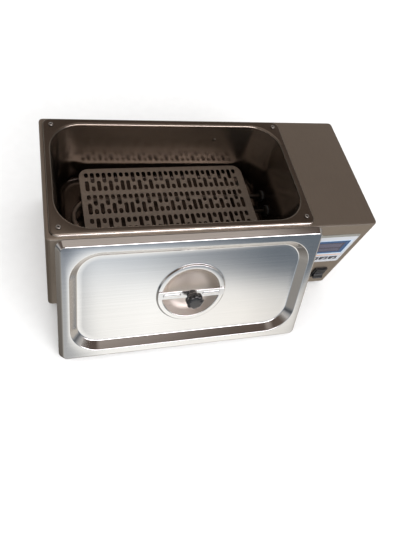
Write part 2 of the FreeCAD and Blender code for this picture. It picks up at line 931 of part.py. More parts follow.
def make_display_module():
    """Liquid crystal module on the board, behind the window."""
    return front_box(window_width + 2 * display_margin, window_height + 2 * display_margin,
                     panel_x, display_z, board_front - display_thickness, board_front)


def post(start, direction, length):
    """Hexagonal post between a sheet and a board."""
    return bar(shank_sides, board_post_width / 2, start, direction, length)


def board_post_points():
    return mirrored_points(board_post_x, board_post_z, panel_x, label_z)


def make_display_board():
    return front_box(board_width, board_height, panel_x, label_z, board_front,
                     board_front + board_thickness)


def make_board_posts():
    """Posts welded inside the case front and bonded to the board."""
    return [post(V(x, front_inside, z), Y_AXIS, board_space) for x, z in board_post_points()]


def make_key(x):
    """Key cap with a captive flange behind the case front and a post into its switch."""
    front = front_plane - label_thickness - key_stand
    flange_front = front_inside + key_flange_play
    flange_back = flange_front + key_flange_thickness
    cap = front_box(key_width, key_height, x, key_z, front, flange_back)
    cap = cap.makeChamfer(key_edge, [e for e in cap.Edges if abs(e.BoundBox.YMax - front) < 1e-3])
    flange = front_box(key_width + 2 * key_flange_margin, key_height + 2 * key_flange_margin,
                       x, key_z, flange_front, flange_back)
    stem = front_box(key_post_width, key_post_width, x, key_z, flange_back,
                     board_front - key_travel - key_post_gap)
    return cap.multiFuse([flange, stem]).removeSplitter()


def make_key_switches():
    """Key switches on the board, open for the key posts."""
    switches = []
    opening = key_post_width + 2 * key_clearance
    for x in key_points():
        body = front_box(key_switch_size, key_switch_size, x, key_z,
                         board_front - key_switch_height, board_front)
        switches.append(body.cut(front_box(opening, opening, x, key_z, front_inside, board_front)))
    return switches


# Power switch

def rocker_profile():
    """Side outline of the rocker about its pivot, as (outward, upward) points."""
    half = rocker_height / 2
    return [(rocker_stand, -half), (rocker_stand - rocker_hollow, 0.0), (rocker_stand, half),
            (-rocker_shoulder, rocker_shoulder_half), (-rocker_belly, rocker_foot_half),
            (-rocker_belly, -rocker_foot_half), (-rocker_shoulder, -rocker_shoulder_half)]


def make_switch_rocker():
    """Rocker with its two moulded pivots, resting with the lower end out."""
    points = [V(-rocker_width / 2, -out, up) for out, up in rocker_profile()]
    body = Part.Face(Part.makePolygon(points + points[:1])).extrude(V(rocker_width, 0, 0))
    reach = rocker_width / 2 + pivot_reach
    pins = rod(pivot_diameter / 2, V(-reach, 0, 0), X_AXIS, 2 * reach)
    rocker = body.fuse(pins).removeSplitter().rotated(V(0, 0, 0), X_AXIS, -rocker_tilt)
    return rocker.translated(V(switch_x, front_plane, switch_z))


def make_switch_housing():
    """Snap-in housing: bezel, body and the well that the rocker swings in."""
    bezel = front_plate(bezel_width, bezel_height, bezel_corner_radius, switch_x, switch_z,
                        front_plane - bezel_thickness, front_plane)
    body = front_box(bezel_width - 2 * switch_body_margin, bezel_height - 2 * switch_body_margin,
                     switch_x, switch_z, front_plane, front_plane + switch_body_depth)
    well_depth = rocker_belly + rocker_height / 2 * math.sin(math.radians(rocker_tilt))
    well_depth += rocker_swing_gap
    hollow = front_box(rocker_width + 2 * rocker_side_clearance,
                       rocker_height + 2 * rocker_end_clearance, switch_x, switch_z,
                       front_plane - bezel_thickness - 1, front_plane + well_depth)
    reach = rocker_width / 2 + pivot_reach + rocker_side_clearance
    socket = rod(pivot_diameter / 2 + pivot_clearance, V(switch_x - reach, front_plane, switch_z),
                 X_AXIS, 2 * reach)
    return bezel.fuse(body).removeSplitter().cut([hollow, socket])


def make_switch_tabs():
    """Four spade terminals behind the switch."""
    y = front_plane + switch_body_depth
    return [centred_box((tab_thickness, tab_length, tab_width),
                        (switch_x + sx * tab_spacing_x / 2, y + tab_length / 2,
                         switch_z + sz * tab_spacing_z / 2))
            for sx in (-1, 1) for sz in (-1, 1)]


# Mains inlet

def make_inlet_socket():
    """Three-pole inlet with its flange and plug well."""
    outer = back_plane + inlet_flange_thickness
    flange = front_plate(inlet_flange_width, inlet_flange_height, inlet_corner_radius, inlet_x,
                         inlet_z, back_plane, outer)
    body = front_box(inlet_body_width, inlet_body_height, inlet_x, inlet_z,
                     back_plane - inlet_body_depth, back_plane)
    tools = [front_box(inlet_well_width, inlet_well_height, inlet_x, inlet_z,
                       outer - inlet_well_depth, outer + 1)]
    for side in (-1, 1):
        tools.append(screw_hole(inlet_x + side * inlet_screw_spacing / 2, back_plane - 1, inlet_z,
                                Y_AXIS, inlet_flange_thickness + 2))
    for x, z in inlet_pin_points():
        tools.append(centred_box((inlet_pin_width, 2 * inlet_body_depth, inlet_pin_height),
                                 (x, back_plane - inlet_body_depth, z)))
    return flange.fuse(body).removeSplitter().cut(tools)


def inlet_pin_points():
    return [(inlet_x - inlet_pin_spacing, inlet_z - inlet_pin_offset),
            (inlet_x, inlet_z + inlet_pin_offset),
            (inlet_x + inlet_pin_spacing, inlet_z - inlet_pin_offset)]


def make_inlet_pins():
    """Blades that run through the inlet body, with their rear terminals."""
    outer_end = back_plane + inlet_flange_thickness - inlet_well_depth + inlet_pin_length
    inner_end = back_plane - inlet_body_depth - tab_length
    return [centred_box((inlet_pin_width, outer_end - inner_end, inlet_pin_height),
                        (x, (outer_end + inner_end) / 2, z)) for x, z in inlet_pin_points()]


def make_inlet_screws():
    length = inlet_flange_thickness + case_sheet + screw_tail
    return [screw(m3_head_radius, m3_head_height, m3_radius, length,
                  V(inlet_x + s * inlet_screw_spacing / 2, back_plane + inlet_flange_thickness,
                    inlet_z), Y_AXIS * -1) for s in (-1, 1)]


# Power board

def power_post_points():
    return mirrored_points(power_post_x, power_post_y, power_x, power_y)


def make_power_board():
    return box(power_x - power_width / 2, power_x + power_width / 2, power_y - power_depth / 2,
               power_y + power_depth / 2, power_board_z, power_board_z + board_thickness)


def make_power_posts():
    return [post(V(x, y, base_top), Z_AXIS, power_stand) for x, y in power_post_points()]


def on_power_board(size, place):
    """Block standing on the power board."""
    z = power_board_z + board_thickness + size[2] / 2
    return centred_box(size, (power_x + place[0], power_y + place[1], z))


def make_transformer():
    """Laminated core with its coil standing proud on both sides."""
    core = on_power_board(transformer_size, transformer_place)
    return core.fuse(on_power_board(coil_size, transformer_place)).removeSplitter()


# Lid, drawn flat with its rim at Z = 0 and its outside upward

panel_level = lid_skirt - recess_depth


def lid_body(offset):
    """Flared block under the lid's border, set in by an offset."""
    corners = [V(0, 0, 0), V(-lid_flare, lid_skirt, 0), V(-3 * lid_flare, lid_skirt, 0)]
    path = rounded_path(moved_lines(corners, offset), (lid_shoulder_radius - offset,),
                        (shoulder_count,))
    return follow(lid_rim_length, lid_rim_depth, lid_face_corner_radius + lid_flare,
                  flange_corner_count, path[:-1])


def recess(offset, above=0.0):
    """Solid inside the tapered recess, grown outward and downward by an offset."""
    corners = [V(2 * recess_brow_radius, lid_skirt, 0), V(0, lid_skirt, 0),
               V(-recess_slope_width, panel_level, 0),
               V(-recess_slope_width - 2 * recess_foot_radius, panel_level, 0)]
    path = rounded_path(moved_lines(corners, offset),
                        (recess_brow_radius - offset, recess_foot_radius + offset),
                        (fold_count, fold_count))
    return well(recess_length, recess_depth_across, recess_corner_radius, path, above)


def dish_path(offset):
    """Half section of the finger dish and the raised ring about it."""
    ring_outer = ring_inner_radius + ring_flat_width
    toe = ring_outer + ring_slope_width
    corners = [V(0, -dish_depth, 0), V(dish_foot_radius, -dish_depth, 0),
               V(ring_inner_radius, ring_raise, 0), V(ring_outer, ring_raise, 0), V(toe, 0, 0),
               V(toe + ring_margin, 0, 0)]
    lines = moved_lines(corners, -offset)
    start = rounded_path(lines[:3], (dish_foot_round + offset,), (fold_count,))
    return start + lines[3:]


def make_lid_shell():
    """Pressed lid: flared rim, flat border, recessed panel, raised ring and finger dish."""
    outer = recess(lid_sheet)
    under_border = lid_body(lid_sheet).cut(outer)
    sheet = lid_body(0).fuse(outer).cut([recess(0, 1.0), under_border])
    rings = dish_path(0)[1:] + dish_path(lid_sheet)[:0:-1]
    dish = stacked([regular(dish_sides, p.x, p.y + panel_level) for p in rings])
    edge = dish_path(0)[-1].x
    hole = stacked([regular(dish_sides, edge, panel_level + z) for z in (-dish_depth, dish_depth)])
    return lid_place(sheet.cut(hole).fuse(dish).removeSplitter())


def lid_place(shape):
    """Lean a shape drawn flat on the lid against the case front, its rim on the bench.

    A lid too tall for its own tilt slides out until its rim is back under the case's top edge.
    """
    height = min(lid_rim_depth * math.cos(math.radians(lid_tilt)), case_top - lid_rim_drop)
    reach = math.sqrt(lid_rim_depth ** 2 - height ** 2)
    leaned = shape.rotated(V(0, 0, 0), X_AXIS, math.degrees(math.atan2(height, reach)))
    return leaned.translated(V(lid_x, front_plane - lid_lean_gap - reach / 2, height / 2))


strap_level = panel_level + ring_raise


def make_lid_strap():
    """Flat handle strap across the dish, with a pressed rib on each half."""
    top = strap_level + strap_thickness
    strap = rounded_block(strap_length, strap_width, strap_corner_radius, small_corner_count,
                          strap_level, top)
    ribs = []
    for side in (-1, 1):
        rib = follow(strap_rib_length, strap_rib_width, strap_rib_slope, 1,
                     [V(0, top, 0), V(-strap_rib_slope / 2, top + strap_rib_raise, 0)])
        ribs.append(rib.translated(V(side * strap_rib_x, 0, 0)))
    hole = bar(shank_sides, m4_radius + hole_clearance, V(0, 0, strap_level - 1), Z_AXIS,
               strap_thickness + 2)
    return lid_place(strap.multiFuse(ribs).cut(hole))


def lobed(share, z):
    """Fluted outline of the knob head at a height, shrunk to a share of its size."""
    count = knob_flutes * knob_points_per_flute
    points = []
    for i in range(count):
        angle = 2 * math.pi * i / count
        dip = knob_flute_depth * (1 - math.cos(knob_flutes * angle)) / 2
        radius = (knob_head_diameter / 2 - dip) * share
        points.append(V(radius * math.cos(angle), radius * math.sin(angle), z))
    return points


def make_lid_knob():
    """Moulded knob: waisted neck and a fluted head."""
    low = knob_neck_height
    top = knob_neck_height + knob_head_height
    head = stacked([lobed(knob_underside, low), lobed(1.0, low + knob_edge),
                    lobed(1.0, top - knob_edge), lobed(knob_crown, top)])
    radius = knob_neck_diameter / 2
    neck = stacked([regular(knob_neck_sides, radius),
                    regular(knob_neck_sides, radius - knob_waist, knob_waist_height),
                    regular(knob_neck_sides, radius, low + knob_edge)])
    bore = bar(shank_sides, m4_radius + hole_clearance, V(0, 0, -1), Z_AXIS, thread_length + 1)
    knob = head.fuse(neck).cut(bore)
    return lid_place(knob.translated(V(0, 0, strap_level + strap_thickness)))


def make_knob_screw():
    """Screw from under the strap into the knob."""
    length = strap_thickness + thread_length - thread_end_gap
    return lid_place(screw(m4_head_radius, m4_head_height, m4_radius, length,
                           V(0, 0, strap_level), Z_AXIS))


def main():
    os.makedirs("parts", exist_ok=True)
    keep("case_shell", make_case_shell())
    keep("base_plate", make_base_plate())
    keep("base_screws", make_base_screws())
    keep("rubber_feet", make_feet())
    keep("bath_pan", make_bath_pan())
    keep("flange_seal", make_flange_seal())
    keep("flange_screws", make_flange_screws())
    keep("rack_plate", make_rack_plate())
    keep("rack_legs", make_rack_legs())
    keep("heater_tube", make_heater_tube())
    keep("heater_terminals", make_heater_terminals())
    keep("temperature_probe", make_temperature_probe())
    keep("wall_fittings", make_fittings())
    keep("fitting_seals", make_fitting_seals())
    keep("fitting_nuts", make_fitting_nuts())
    keep("thermal_cutout", make_thermal_cutout())
    keep("cutout_rivet", make_cutout_rivet())
    keep("tank_insulation", make_insulation())
    keep("divider_plate", make_divider())
    keep("control_label", make_control_label())
    keep("display_window", make_display_window())
    keep("display_module", make_display_module())
    keep("display_board", make_display_board())
    keep("board_posts", make_board_posts())
    for number, x in enumerate(key_points(), 1):
        keep("key_%d" % number, make_key(x))
    keep("key_switches", make_key_switches())
    keep("switch_housing", make_switch_housing())
    keep("switch_rocker", make_switch_rocker())
    keep("switch_tabs", make_switch_tabs())
    keep("inlet_socket", make_inlet_socket())
    keep("inlet_pins", make_inlet_pins())
    keep("inlet_screws", make_inlet_screws())
    keep("power_board", make_power_board())
    keep("power_posts", make_power_posts())
    keep("transformer", make_transformer())
    keep("relay", on_power_board(relay_size, relay_place))
    keep("terminal_block", on_power_board(terminal_block_size, terminal_block_place))
    keep("lid_shell", make_lid_shell())
    keep("lid_strap", make_lid_strap())
    keep("lid_knob", make_lid_knob())
    keep("knob_screw", make_knob_screw())
    write_nodes()


main()
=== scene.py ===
import json
import math

import bmesh
import bpy
from mathutils import Matrix, Vector

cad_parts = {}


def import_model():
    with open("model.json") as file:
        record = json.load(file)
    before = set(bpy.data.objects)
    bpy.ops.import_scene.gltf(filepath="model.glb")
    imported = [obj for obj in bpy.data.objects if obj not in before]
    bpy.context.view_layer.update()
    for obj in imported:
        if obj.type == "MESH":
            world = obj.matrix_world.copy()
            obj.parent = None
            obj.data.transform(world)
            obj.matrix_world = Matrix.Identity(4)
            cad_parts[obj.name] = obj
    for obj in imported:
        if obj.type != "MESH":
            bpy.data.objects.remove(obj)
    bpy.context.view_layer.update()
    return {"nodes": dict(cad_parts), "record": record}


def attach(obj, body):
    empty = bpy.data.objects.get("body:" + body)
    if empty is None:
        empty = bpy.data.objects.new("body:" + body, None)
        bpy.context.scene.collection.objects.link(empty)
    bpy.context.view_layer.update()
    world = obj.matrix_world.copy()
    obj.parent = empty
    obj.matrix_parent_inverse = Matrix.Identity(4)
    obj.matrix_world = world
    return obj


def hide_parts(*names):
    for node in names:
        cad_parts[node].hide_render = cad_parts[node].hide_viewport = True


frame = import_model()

NODES = frame["nodes"]
BODY = "bath"
MM = 0.001

# Sizes in millimetres and angles in degrees, with Y = 0 at the middle of the case.
# A plan is length, depth and corner radius.

SHIFT_Y = 37.5283
CASE_TOP = 167.0
CASE_FRONT = -91.0

PAN_X = -43.5
PAN_TOP = 170.0
PAN_FLOOR = 70.0
PAN_SHEET = 0.8
PAN_DRAFT = 5.0
FLANGE_PLAN = (325, 176, 10)
FLANGE_LAP = 0.02
FLANGE_ROLL = 2.3
FLANGE_LAND = 9.0
LIP_LAND = 6.0
OPENING_PLAN = (309, 157, 40)
LIP_ROLL = 3.0
FLOOR_ROLL = 12.0
FLOOR_REACH = 24.0

RACK_PLAN = (240, 123, 14)
RACK_PLACE = (3.2, 6.0)
RACK_TURN = 1.0
RACK_SHEET = 1.0
RACK_LEVEL = 96.5
SLOT_COLUMNS = 28
SLOT_BANDS = 3
SLOT_FIRST_X = 9.8
SLOT_FIRST_Y = 6.8
SLOT_PITCH = 8.05
SLOT_BAND_PITCH = 38.1
SLOT_WIDTH = 5.4
SLOT_SHORT = 8.6
SLOT_LONG = 17.8
SLOT_BRIDGE = 5.5
SLOT_SHIFTED_COLUMNS = (7, 13, 19)

HEATER_RADIUS = 3.68
HEATER_LEVEL = 87.0
HEATER_END = 155.6
HEATER_BEND_X = -101.5
HEATER_BEND_RADIUS = 27.3
HEATER_MIDDLE_Y = -9.0

LID_TILT = 24.3
LID_X = -34.4
LID_GAP = 0.15
LID_HALF_DEPTH = 91.0
LID_SHEET = 0.8
LID_FOOT = 0.02
LID_HEIGHT = 7.0
LID_FLARE = 5.0
LID_BORDER = 15.0
LID_RIM_ROLL = 2.7
LID_RIM_PLAN = (332, 182, 11)
RECESS_PLAN = (304, 152, 38)
RECESS_DEPTH = 8.5
RECESS_SLOPE = 9.0
RECESS_LAND = 4.0
RECESS_FLOOR_REACH = 7.0
RECESS_ROLLS = (1.8, 3.0)
PANEL = LID_HEIGHT - RECESS_DEPTH

RING_HEIGHT = 1.6
DISH_PROFILE = ((0, -9.0), (28.5, -9.0), (38.4, RING_HEIGHT), (44.0, RING_HEIGHT), (45.5, 0),
                (47.5, 0))
DISH_ROLLS = (14.0, 1.3, 1.0, 0.9)
# Where the leaning dish's centre comes to lie in the frame, and the fade at its edge
DISH_CENTRE = (-34.4, -89.7, 82.3)
DISH_FADE = (38.5, 37.5)

STRAP_PLAN = (88, 11.3, 2.0)
STRAP_SHEET = 1.5
STRAP_LEVEL = PANEL + RING_HEIGHT
RIB_PLAN = (23.6, 4.8, 2.35)
RIB_X = 26.0
RIB_STEPS = ((1.0, -0.3), (1.0, 0.0), (0.9, 0.2), (0.72, 0.36), (0.45, 0.45))

KNOB_RADIUS = 11.45
KNOB_FLUTES = 8
KNOB_FLUTE_DEPTH = 1.25
KNOB_SIDES = 128

SCREW_X = 152
SCREW_Y = 77
SCREW_HEAD_RADIUS = 2.85
SCREW_HEAD_HEIGHT = 1.95
SCREW_SHANK_RADIUS = 1.4
SCREW_SHANK_FOOT = 163.1

# Printed fields of the front panel, each as a range of X and a range of Z

LABEL_BAND = ((120.0, 210.0), (138.5, 145.0))
LABEL_FRAME = ((131.8, 194.2), (94.5, 130.0))
LABEL_LINE = ((133.0, 193.0), (90.8, 92.2))
LABEL_UNDERLINE = ((130.0, 196.0), (77.5, 78.2))
SCREEN = ((140.5, 185.5), (101.0, 123.5))
FIGURES_HIGH = ((143.5, 182.5), (112.5, 121.0))
FIGURES_LOW = ((143.5, 182.5), (103.0, 109.0))
KEY_COUNT = 4
KEY_X = 140.5
KEY_Z = 82.7
KEY_PITCH = 15.0
KEY_FIELD_HALF = 6.8
KEY_FIELD_Z = (78.8, 86.6)
KEY_MARK_SLANT = 0.8
KEY_MARK_HALF_WIDTH = 1.0
KEY_MARK_HALF_RISE = 1.7


# Node helpers

class Nodes:
    """A node tree with short calls."""

    def __init__(self, tree):
        self.tree = tree
        tree.nodes.clear()

    def node(self, kind, **values):
        made = self.tree.nodes.new(kind)
        for key, value in values.items():
            setattr(made, key, value)
        return made

    def link(self, a, a_out, b, b_in):
        self.tree.links.new(a.outputs[a_out], b.inputs[b_in])

    def ramp(self, source, stops, out="Fac"):
        made = self.node("ShaderNodeValToRGB")
        elements = made.color_ramp.elements
        while len(elements) < len(stops):
            elements.new(0.5)
        for element, (at, colour) in zip(elements, stops):
            element.position = at
            element.color = tuple(colour) + (1,)
        self.link(source, out, made, "Fac")
        return made

    def span(self, source, low, high, out="Fac"):
        """Map 0..1 of an output onto low..high."""
        made = self.node("ShaderNodeMapRange")
        made.inputs["To Min"].default_value = low
        made.inputs["To Max"].default_value = high
        self.link(source, out, made, "Value")
        return made

    def share(self, source, low, high, out=0):
        """Map low..high of an output onto 0..1."""
        made = self.node("ShaderNodeMapRange")
        made.inputs["From Min"].default_value = low
        made.inputs["From Max"].default_value = high
        self.link(source, out, made, "Value")
        return made

    def step(self, operation, a, value, out=0):
        """One step of arithmetic between an output and a number."""
        made = self.node("ShaderNodeMath", operation=operation)
        self.link(a, out, made, 0)
        made.inputs[1].default_value = value
        return made

    def join(self, operation, a, b):
        """One step of arithmetic between the first outputs of two nodes."""
        made = self.node("ShaderNodeMath", operation=operation)
        self.link(a, 0, made, 0)
        self.link(b, 0, made, 1)
        return made

    def multiply(self, a, a_out, b, b_out):
        mix = self.node("ShaderNodeMix", data_type="RGBA", blend_type="MULTIPLY")
        mix.inputs["Factor"].default_value = 1.0
        self.link(a, a_out, mix, "A")
        self.link(b, b_out, mix, "B")
        return mix

    def cover(self, mask, under, under_out, colour, mask_out=0):
        """Show a plain colour where the mask is 1, and what lies under where it is 0."""
        mix = self.node("ShaderNodeMix", data_type="RGBA")
        self.link(mask, mask_out, mix, "Factor")
        self.link(under, under_out, mix, "A")
        mix.inputs["B"].default_value = tuple(colour) + (1,)
        return mix


class Surface(Nodes):
    """A material round one principled shader; places are in millimetres of the frame."""

    def __init__(self, name):
        self.mat = bpy.data.materials.new(name)
        self.mat.use_nodes = True
        super().__init__(self.mat.node_tree)
        self.out = self.node("ShaderNodeOutputMaterial")
        self.bsdf = self.node("ShaderNodeBsdfPrincipled")
        self.link(self.bsdf, 0, self.out, 0)

    def set(self, **values):
        for key, value in values.items():
            self.bsdf.inputs[key.replace("_", " ")].default_value = value

    def coords(self, scale=(1, 1, 1)):
        tex = self.node("ShaderNodeTexCoord")
        mapping = self.node("ShaderNodeMapping")
        mapping.inputs["Scale"].default_value = scale
        self.link(tex, "Object", mapping, "Vector")
        return mapping

    def noise(self, scale, coords=None, detail=3.0, rough=0.55):
        made = self.node("ShaderNodeTexNoise")
        made.inputs["Scale"].default_value = scale
        made.inputs["Detail"].default_value = detail
        made.inputs["Roughness"].default_value = rough
        self.link(coords or self.coords(), "Vector", made, "Vector")
        return made

    def roughness(self, source, low, high):
        self.link(self.span(source, low, high), "Result", self.bsdf, "Roughness")

    def bump(self, source, strength, distance):
        made = self.node("ShaderNodeBump")
        made.inputs["Strength"].default_value = strength
        made.inputs["Distance"].default_value = distance
        self.link(source, "Fac", made, "Height")
        self.link(made, "Normal", self.bsdf, "Normal")

    def axes(self):
        """X, Y and Z of the part, in metres."""
        tex = self.node("ShaderNodeTexCoord")
        made = self.node("ShaderNodeSeparateXYZ")
        self.link(tex, "Object", made, 0)
        return made

    def place(self, axis, low, high):
        """0..1 along one axis of the part, between two places."""
        return self.share(self.axes(), low * MM, high * MM, out=axis)

    def between(self, axis, low, high):
        """1 between two places along one axis, and 0 outside."""
        axes = self.axes()
        return self.join("MULTIPLY", self.step("GREATER_THAN", axes, low * MM, out=axis),
                         self.step("LESS_THAN", axes, high * MM, out=axis))

    def patch(self, under, under_out, colour, field):
        """Lay a plain rectangle of colour, given in X and Z, over what lies under."""
        x, z = field
        mask = self.join("MULTIPLY", self.between("X", *x), self.between("Z", *z))
        return self.cover(mask, under, under_out, colour)


# Materials

def tint(colour, factor):
    return tuple(min(1.0, c * factor) for c in colour)


def grey(level):
    return (level, level, level)


def steel(name, colour, rough, grain=(6, 400, 400), rough_spread=0.05, colour_spread=0.04,
          bump=0.03, blotch=9.0, patch=0.05, metallic=1.0, painted_shades=None):
    """Sheet steel: streaks along the direction with the smallest grain scale, and soft patches.

    Shades, where given, are painted shade along one axis: the axis, two places on it and the
    stops between them.
    """
    g = Surface(name)
    streak = g.noise(1.0, g.coords(scale=grain), detail=4.0, rough=0.6)
    cloud = g.noise(blotch, detail=3.0, rough=0.5)
    fine = g.ramp(streak, [(0.30, tint(colour, 1 - colour_spread)),
                           (0.70, tint(colour, 1 + colour_spread))])
    soft_patch = g.ramp(cloud, [(0.30, grey(1 - patch)), (0.70, grey(1.0))])
    sheet = g.multiply(fine, "Color", soft_patch, "Color")
    if painted_shades:
        axis, low, high, stops = painted_shades
        shade = g.ramp(g.place(axis, low, high), [(at, grey(level)) for at, level in stops],
                       out="Result")
        sheet = g.multiply(sheet, "Result", shade, "Color")
    g.link(sheet, "Result", g.bsdf, "Base Color")
    g.roughness(streak, rough - rough_spread, rough + rough_spread)
    g.bump(streak, bump, 0.0002)
    g.set(Metallic=metallic)
    return g.mat


def pan_steel():
    """Drawn steel, brown on the flange, with painted shade: brighter walls, darker floor and
    ends.
    """
    g = Surface("pan_steel")
    streak = g.noise(1.0, g.coords(scale=(260, 260, 14)), detail=4.0, rough=0.6)
    cloud = g.noise(11.0, detail=3.0, rough=0.5)
    # Painted shade: darker towards the floor of the pan, brightest near the top of the walls.
    colour = g.ramp(g.place("Z", PAN_FLOOR, PAN_TOP - 0.5), out="Result", stops=[
        (0.00, (0.12, 0.095, 0.08)), (0.12, (0.18, 0.145, 0.12)), (0.30, (0.42, 0.36, 0.305)),
        (0.60, (0.64, 0.56, 0.49)), (0.96, (0.82, 0.73, 0.645)), (1.00, (0.33, 0.285, 0.242))])
    # Painted shade: the walls darken towards both ends of the pan; the flange is left out of it.
    ends = g.ramp(g.place("X", -200.0, 112.0), out="Result", stops=[
        (0.00, grey(0.36)), (0.07, grey(0.72)), (0.17, grey(1.0)), (0.82, grey(1.0)),
        (0.93, grey(0.95)), (1.00, grey(0.50))])
    flange = g.between("Z", PAN_TOP - 0.7, PAN_TOP + 10.0)
    level = g.cover(flange, ends, "Color", grey(1))
    fine = g.ramp(streak, [(0.30, grey(0.93)), (0.70, grey(1.0))])
    soft_patch = g.ramp(cloud, [(0.30, grey(0.86)), (0.70, grey(1.0))])
    texture = g.multiply(fine, "Color", soft_patch, "Color")
    lit = g.multiply(texture, "Result", level, "Result")
    mixed = g.multiply(colour, "Color", lit, "Result")
    # Painted highlight: a pale colour along the front roll of the flange.
    front_roll_highlight = g.cover(g.between("Y", -60.0, -48.0), mixed, "Result", (0.90, 0.84, 0.78))
    g.link(front_roll_highlight, "Result", g.bsdf, "Base Color")
    g.roughness(cloud, 0.17, 0.27)
    g.bump(streak, 0.05, 0.0002)
    g.set(Metallic=1.0)
    return g.mat


def lid_steel():
    """Bright sheet brushed along its length; the finger dish is duller and warmer."""
    g = Surface("lid_steel")
    streak = g.noise(1.0, g.coords(scale=(4, 900, 900)), detail=4.0, rough=0.6)
    cloud = g.noise(9.0, detail=3.0, rough=0.5)
    fine = g.ramp(streak, [(0.30, (0.80, 0.80, 0.795)), (0.70, (0.86, 0.86, 0.855))])
    soft_patch = g.ramp(cloud, [(0.30, grey(0.95)), (0.70, grey(1.0))])
    sheet = g.multiply(fine, "Color", soft_patch, "Color")
    tex = g.node("ShaderNodeTexCoord")
    away = g.node("ShaderNodeVectorMath", operation="DISTANCE")
    g.link(tex, "Object", away, 0)
    away.inputs[1].default_value = [c * MM for c in DISH_CENTRE]
    dish = g.share(away, *(distance * MM for distance in DISH_FADE), out="Value")
    base = g.cover(dish, sheet, "Result", (0.80, 0.74, 0.68), mask_out="Result")
    g.link(base, "Result", g.bsdf, "Base Color")
    rough = g.node("ShaderNodeMix")
    g.link(dish, "Result", rough, "Factor")
    g.link(g.span(streak, 0.07, 0.13), "Result", rough, "A")
    rough.inputs["B"].default_value = 0.52
    g.link(rough, "Result", g.bsdf, "Roughness")
    g.bump(streak, 0.008, 0.0002)
    g.set(Metallic=1.0)
    return g.mat


def plastic(name, colour, rough, grain=900.0, bump=0.05, spread=0.08, coat=0.0, metallic=0.0):
    """Moulded plastic, rubber or laminate with a fine skin texture."""
    g = Surface(name)
    fine = g.noise(grain, detail=2.0)
    cloud = g.noise(25.0, detail=3.0)
    base = g.ramp(cloud, [(0.3, tint(colour, 1 - spread)), (0.7, tint(colour, 1 + spread))])
    g.link(base, "Color", g.bsdf, "Base Color")
    g.roughness(fine, rough - 0.06, rough + 0.06)
    g.bump(fine, bump, 0.0002)
    g.set(Metallic=metallic)
    if coat:
        g.set(Coat_Weight=coat)
    return g.mat


def printed(name, base, patches, rough, coat=0.0):
    """Printed film: a plain ground with rectangles laid over it in turn."""
    g = Surface(name)
    speck = g.noise(700.0, detail=2.0)
    made, out = g.ramp(speck, [(0.3, tint(base, 0.97)), (0.7, base)]), "Color"
    for colour, field in patches:
        made, out = g.patch(made, out, colour, field), "Result"
    g.link(made, out, g.bsdf, "Base Color")
    g.roughness(speck, rough - 0.04, rough + 0.04)
    g.bump(speck, 0.01, 0.0001)
    if coat:
        g.set(Coat_Weight=coat, Coat_Roughness=0.1)
    return g.mat


def label_film():
    """Pale film with a grey band at the top, a pale blue frame and an orange line."""
    patches = [((0.22, 0.22, 0.20), LABEL_BAND), ((0.42, 0.53, 0.66), LABEL_FRAME),
               ((0.66, 0.25, 0.10), LABEL_LINE), ((0.30, 0.33, 0.38), LABEL_UNDERLINE)]
    for i in range(KEY_COUNT):
        x = KEY_X + KEY_PITCH * i
        patches.append(((0.16, 0.17, 0.20),
                        ((x - KEY_FIELD_HALF, x + KEY_FIELD_HALF), KEY_FIELD_Z)))
    return printed("label_film", (0.48, 0.50, 0.535), patches, 0.30)


def display_glass():
    """Tinted pane: a blue frame round a grey-violet screen with two faint fields."""
    patches = [((0.048, 0.048, 0.074), SCREEN), ((0.085, 0.082, 0.118), FIGURES_HIGH),
               ((0.080, 0.078, 0.112), FIGURES_LOW)]
    return printed("display_glass", (0.024, 0.070, 0.165), patches, 0.16, coat=0.2)


def key_print():
    """Dark keys with one pale slanted mark on each."""
    g = Surface("key_plastic")
    axes = g.axes()
    row = g.step("SUBTRACT", axes, (KEY_X - KEY_PITCH / 2) * MM, out="X")
    across = g.step("SUBTRACT", g.step("MODULO", row, KEY_PITCH * MM), KEY_PITCH / 2 * MM)
    up = g.step("MULTIPLY", g.step("SUBTRACT", axes, KEY_Z * MM, out="Z"), KEY_MARK_SLANT)
    off_line = g.step("ABSOLUTE", g.join("SUBTRACT", across, up), 0.0)
    mark = g.join("MULTIPLY", g.step("LESS_THAN", off_line, KEY_MARK_HALF_WIDTH * MM),
                  g.step("LESS_THAN", g.step("ABSOLUTE", up, 0.0), KEY_MARK_HALF_RISE * MM))
    fine = g.noise(900.0, detail=2.0)
    dark = g.ramp(fine, [(0.3, (0.040, 0.042, 0.054)), (0.7, (0.050, 0.052, 0.066))])
    base = g.cover(mark, dark, "Color", (0.62, 0.63, 0.66))
    g.link(base, "Result", g.bsdf, "Base Color")
    g.roughness(fine, 0.36, 0.46)
    g.bump(fine, 0.04, 0.0002)
    return g.mat


def rocker_black():
    """Glossy black with shallow ridges across the rocker, and painted shade in their grooves."""
    g = Surface("rocker_plastic")
    fine = g.noise(900.0, detail=2.0)
    g.roughness(fine, 0.26, 0.38)
    ridges = g.node("ShaderNodeTexWave", wave_type="BANDS", bands_direction="Z")
    ridges.inputs["Scale"].default_value = 1.0
    g.link(g.coords(scale=(55.0, 55.0, 55.0)), "Vector", ridges, "Vector")
    # Painted shade in the grooves and painted highlight on the crests of the ridges.
    base = g.ramp(ridges, [(0.55, (0.006, 0.006, 0.007)), (0.90, (0.045, 0.045, 0.048))])
    g.link(base, "Color", g.bsdf, "Base Color")
    g.bump(ridges, 0.55, 0.0009)
    return g.mat


EVEN_GRAIN = (300, 300, 300)

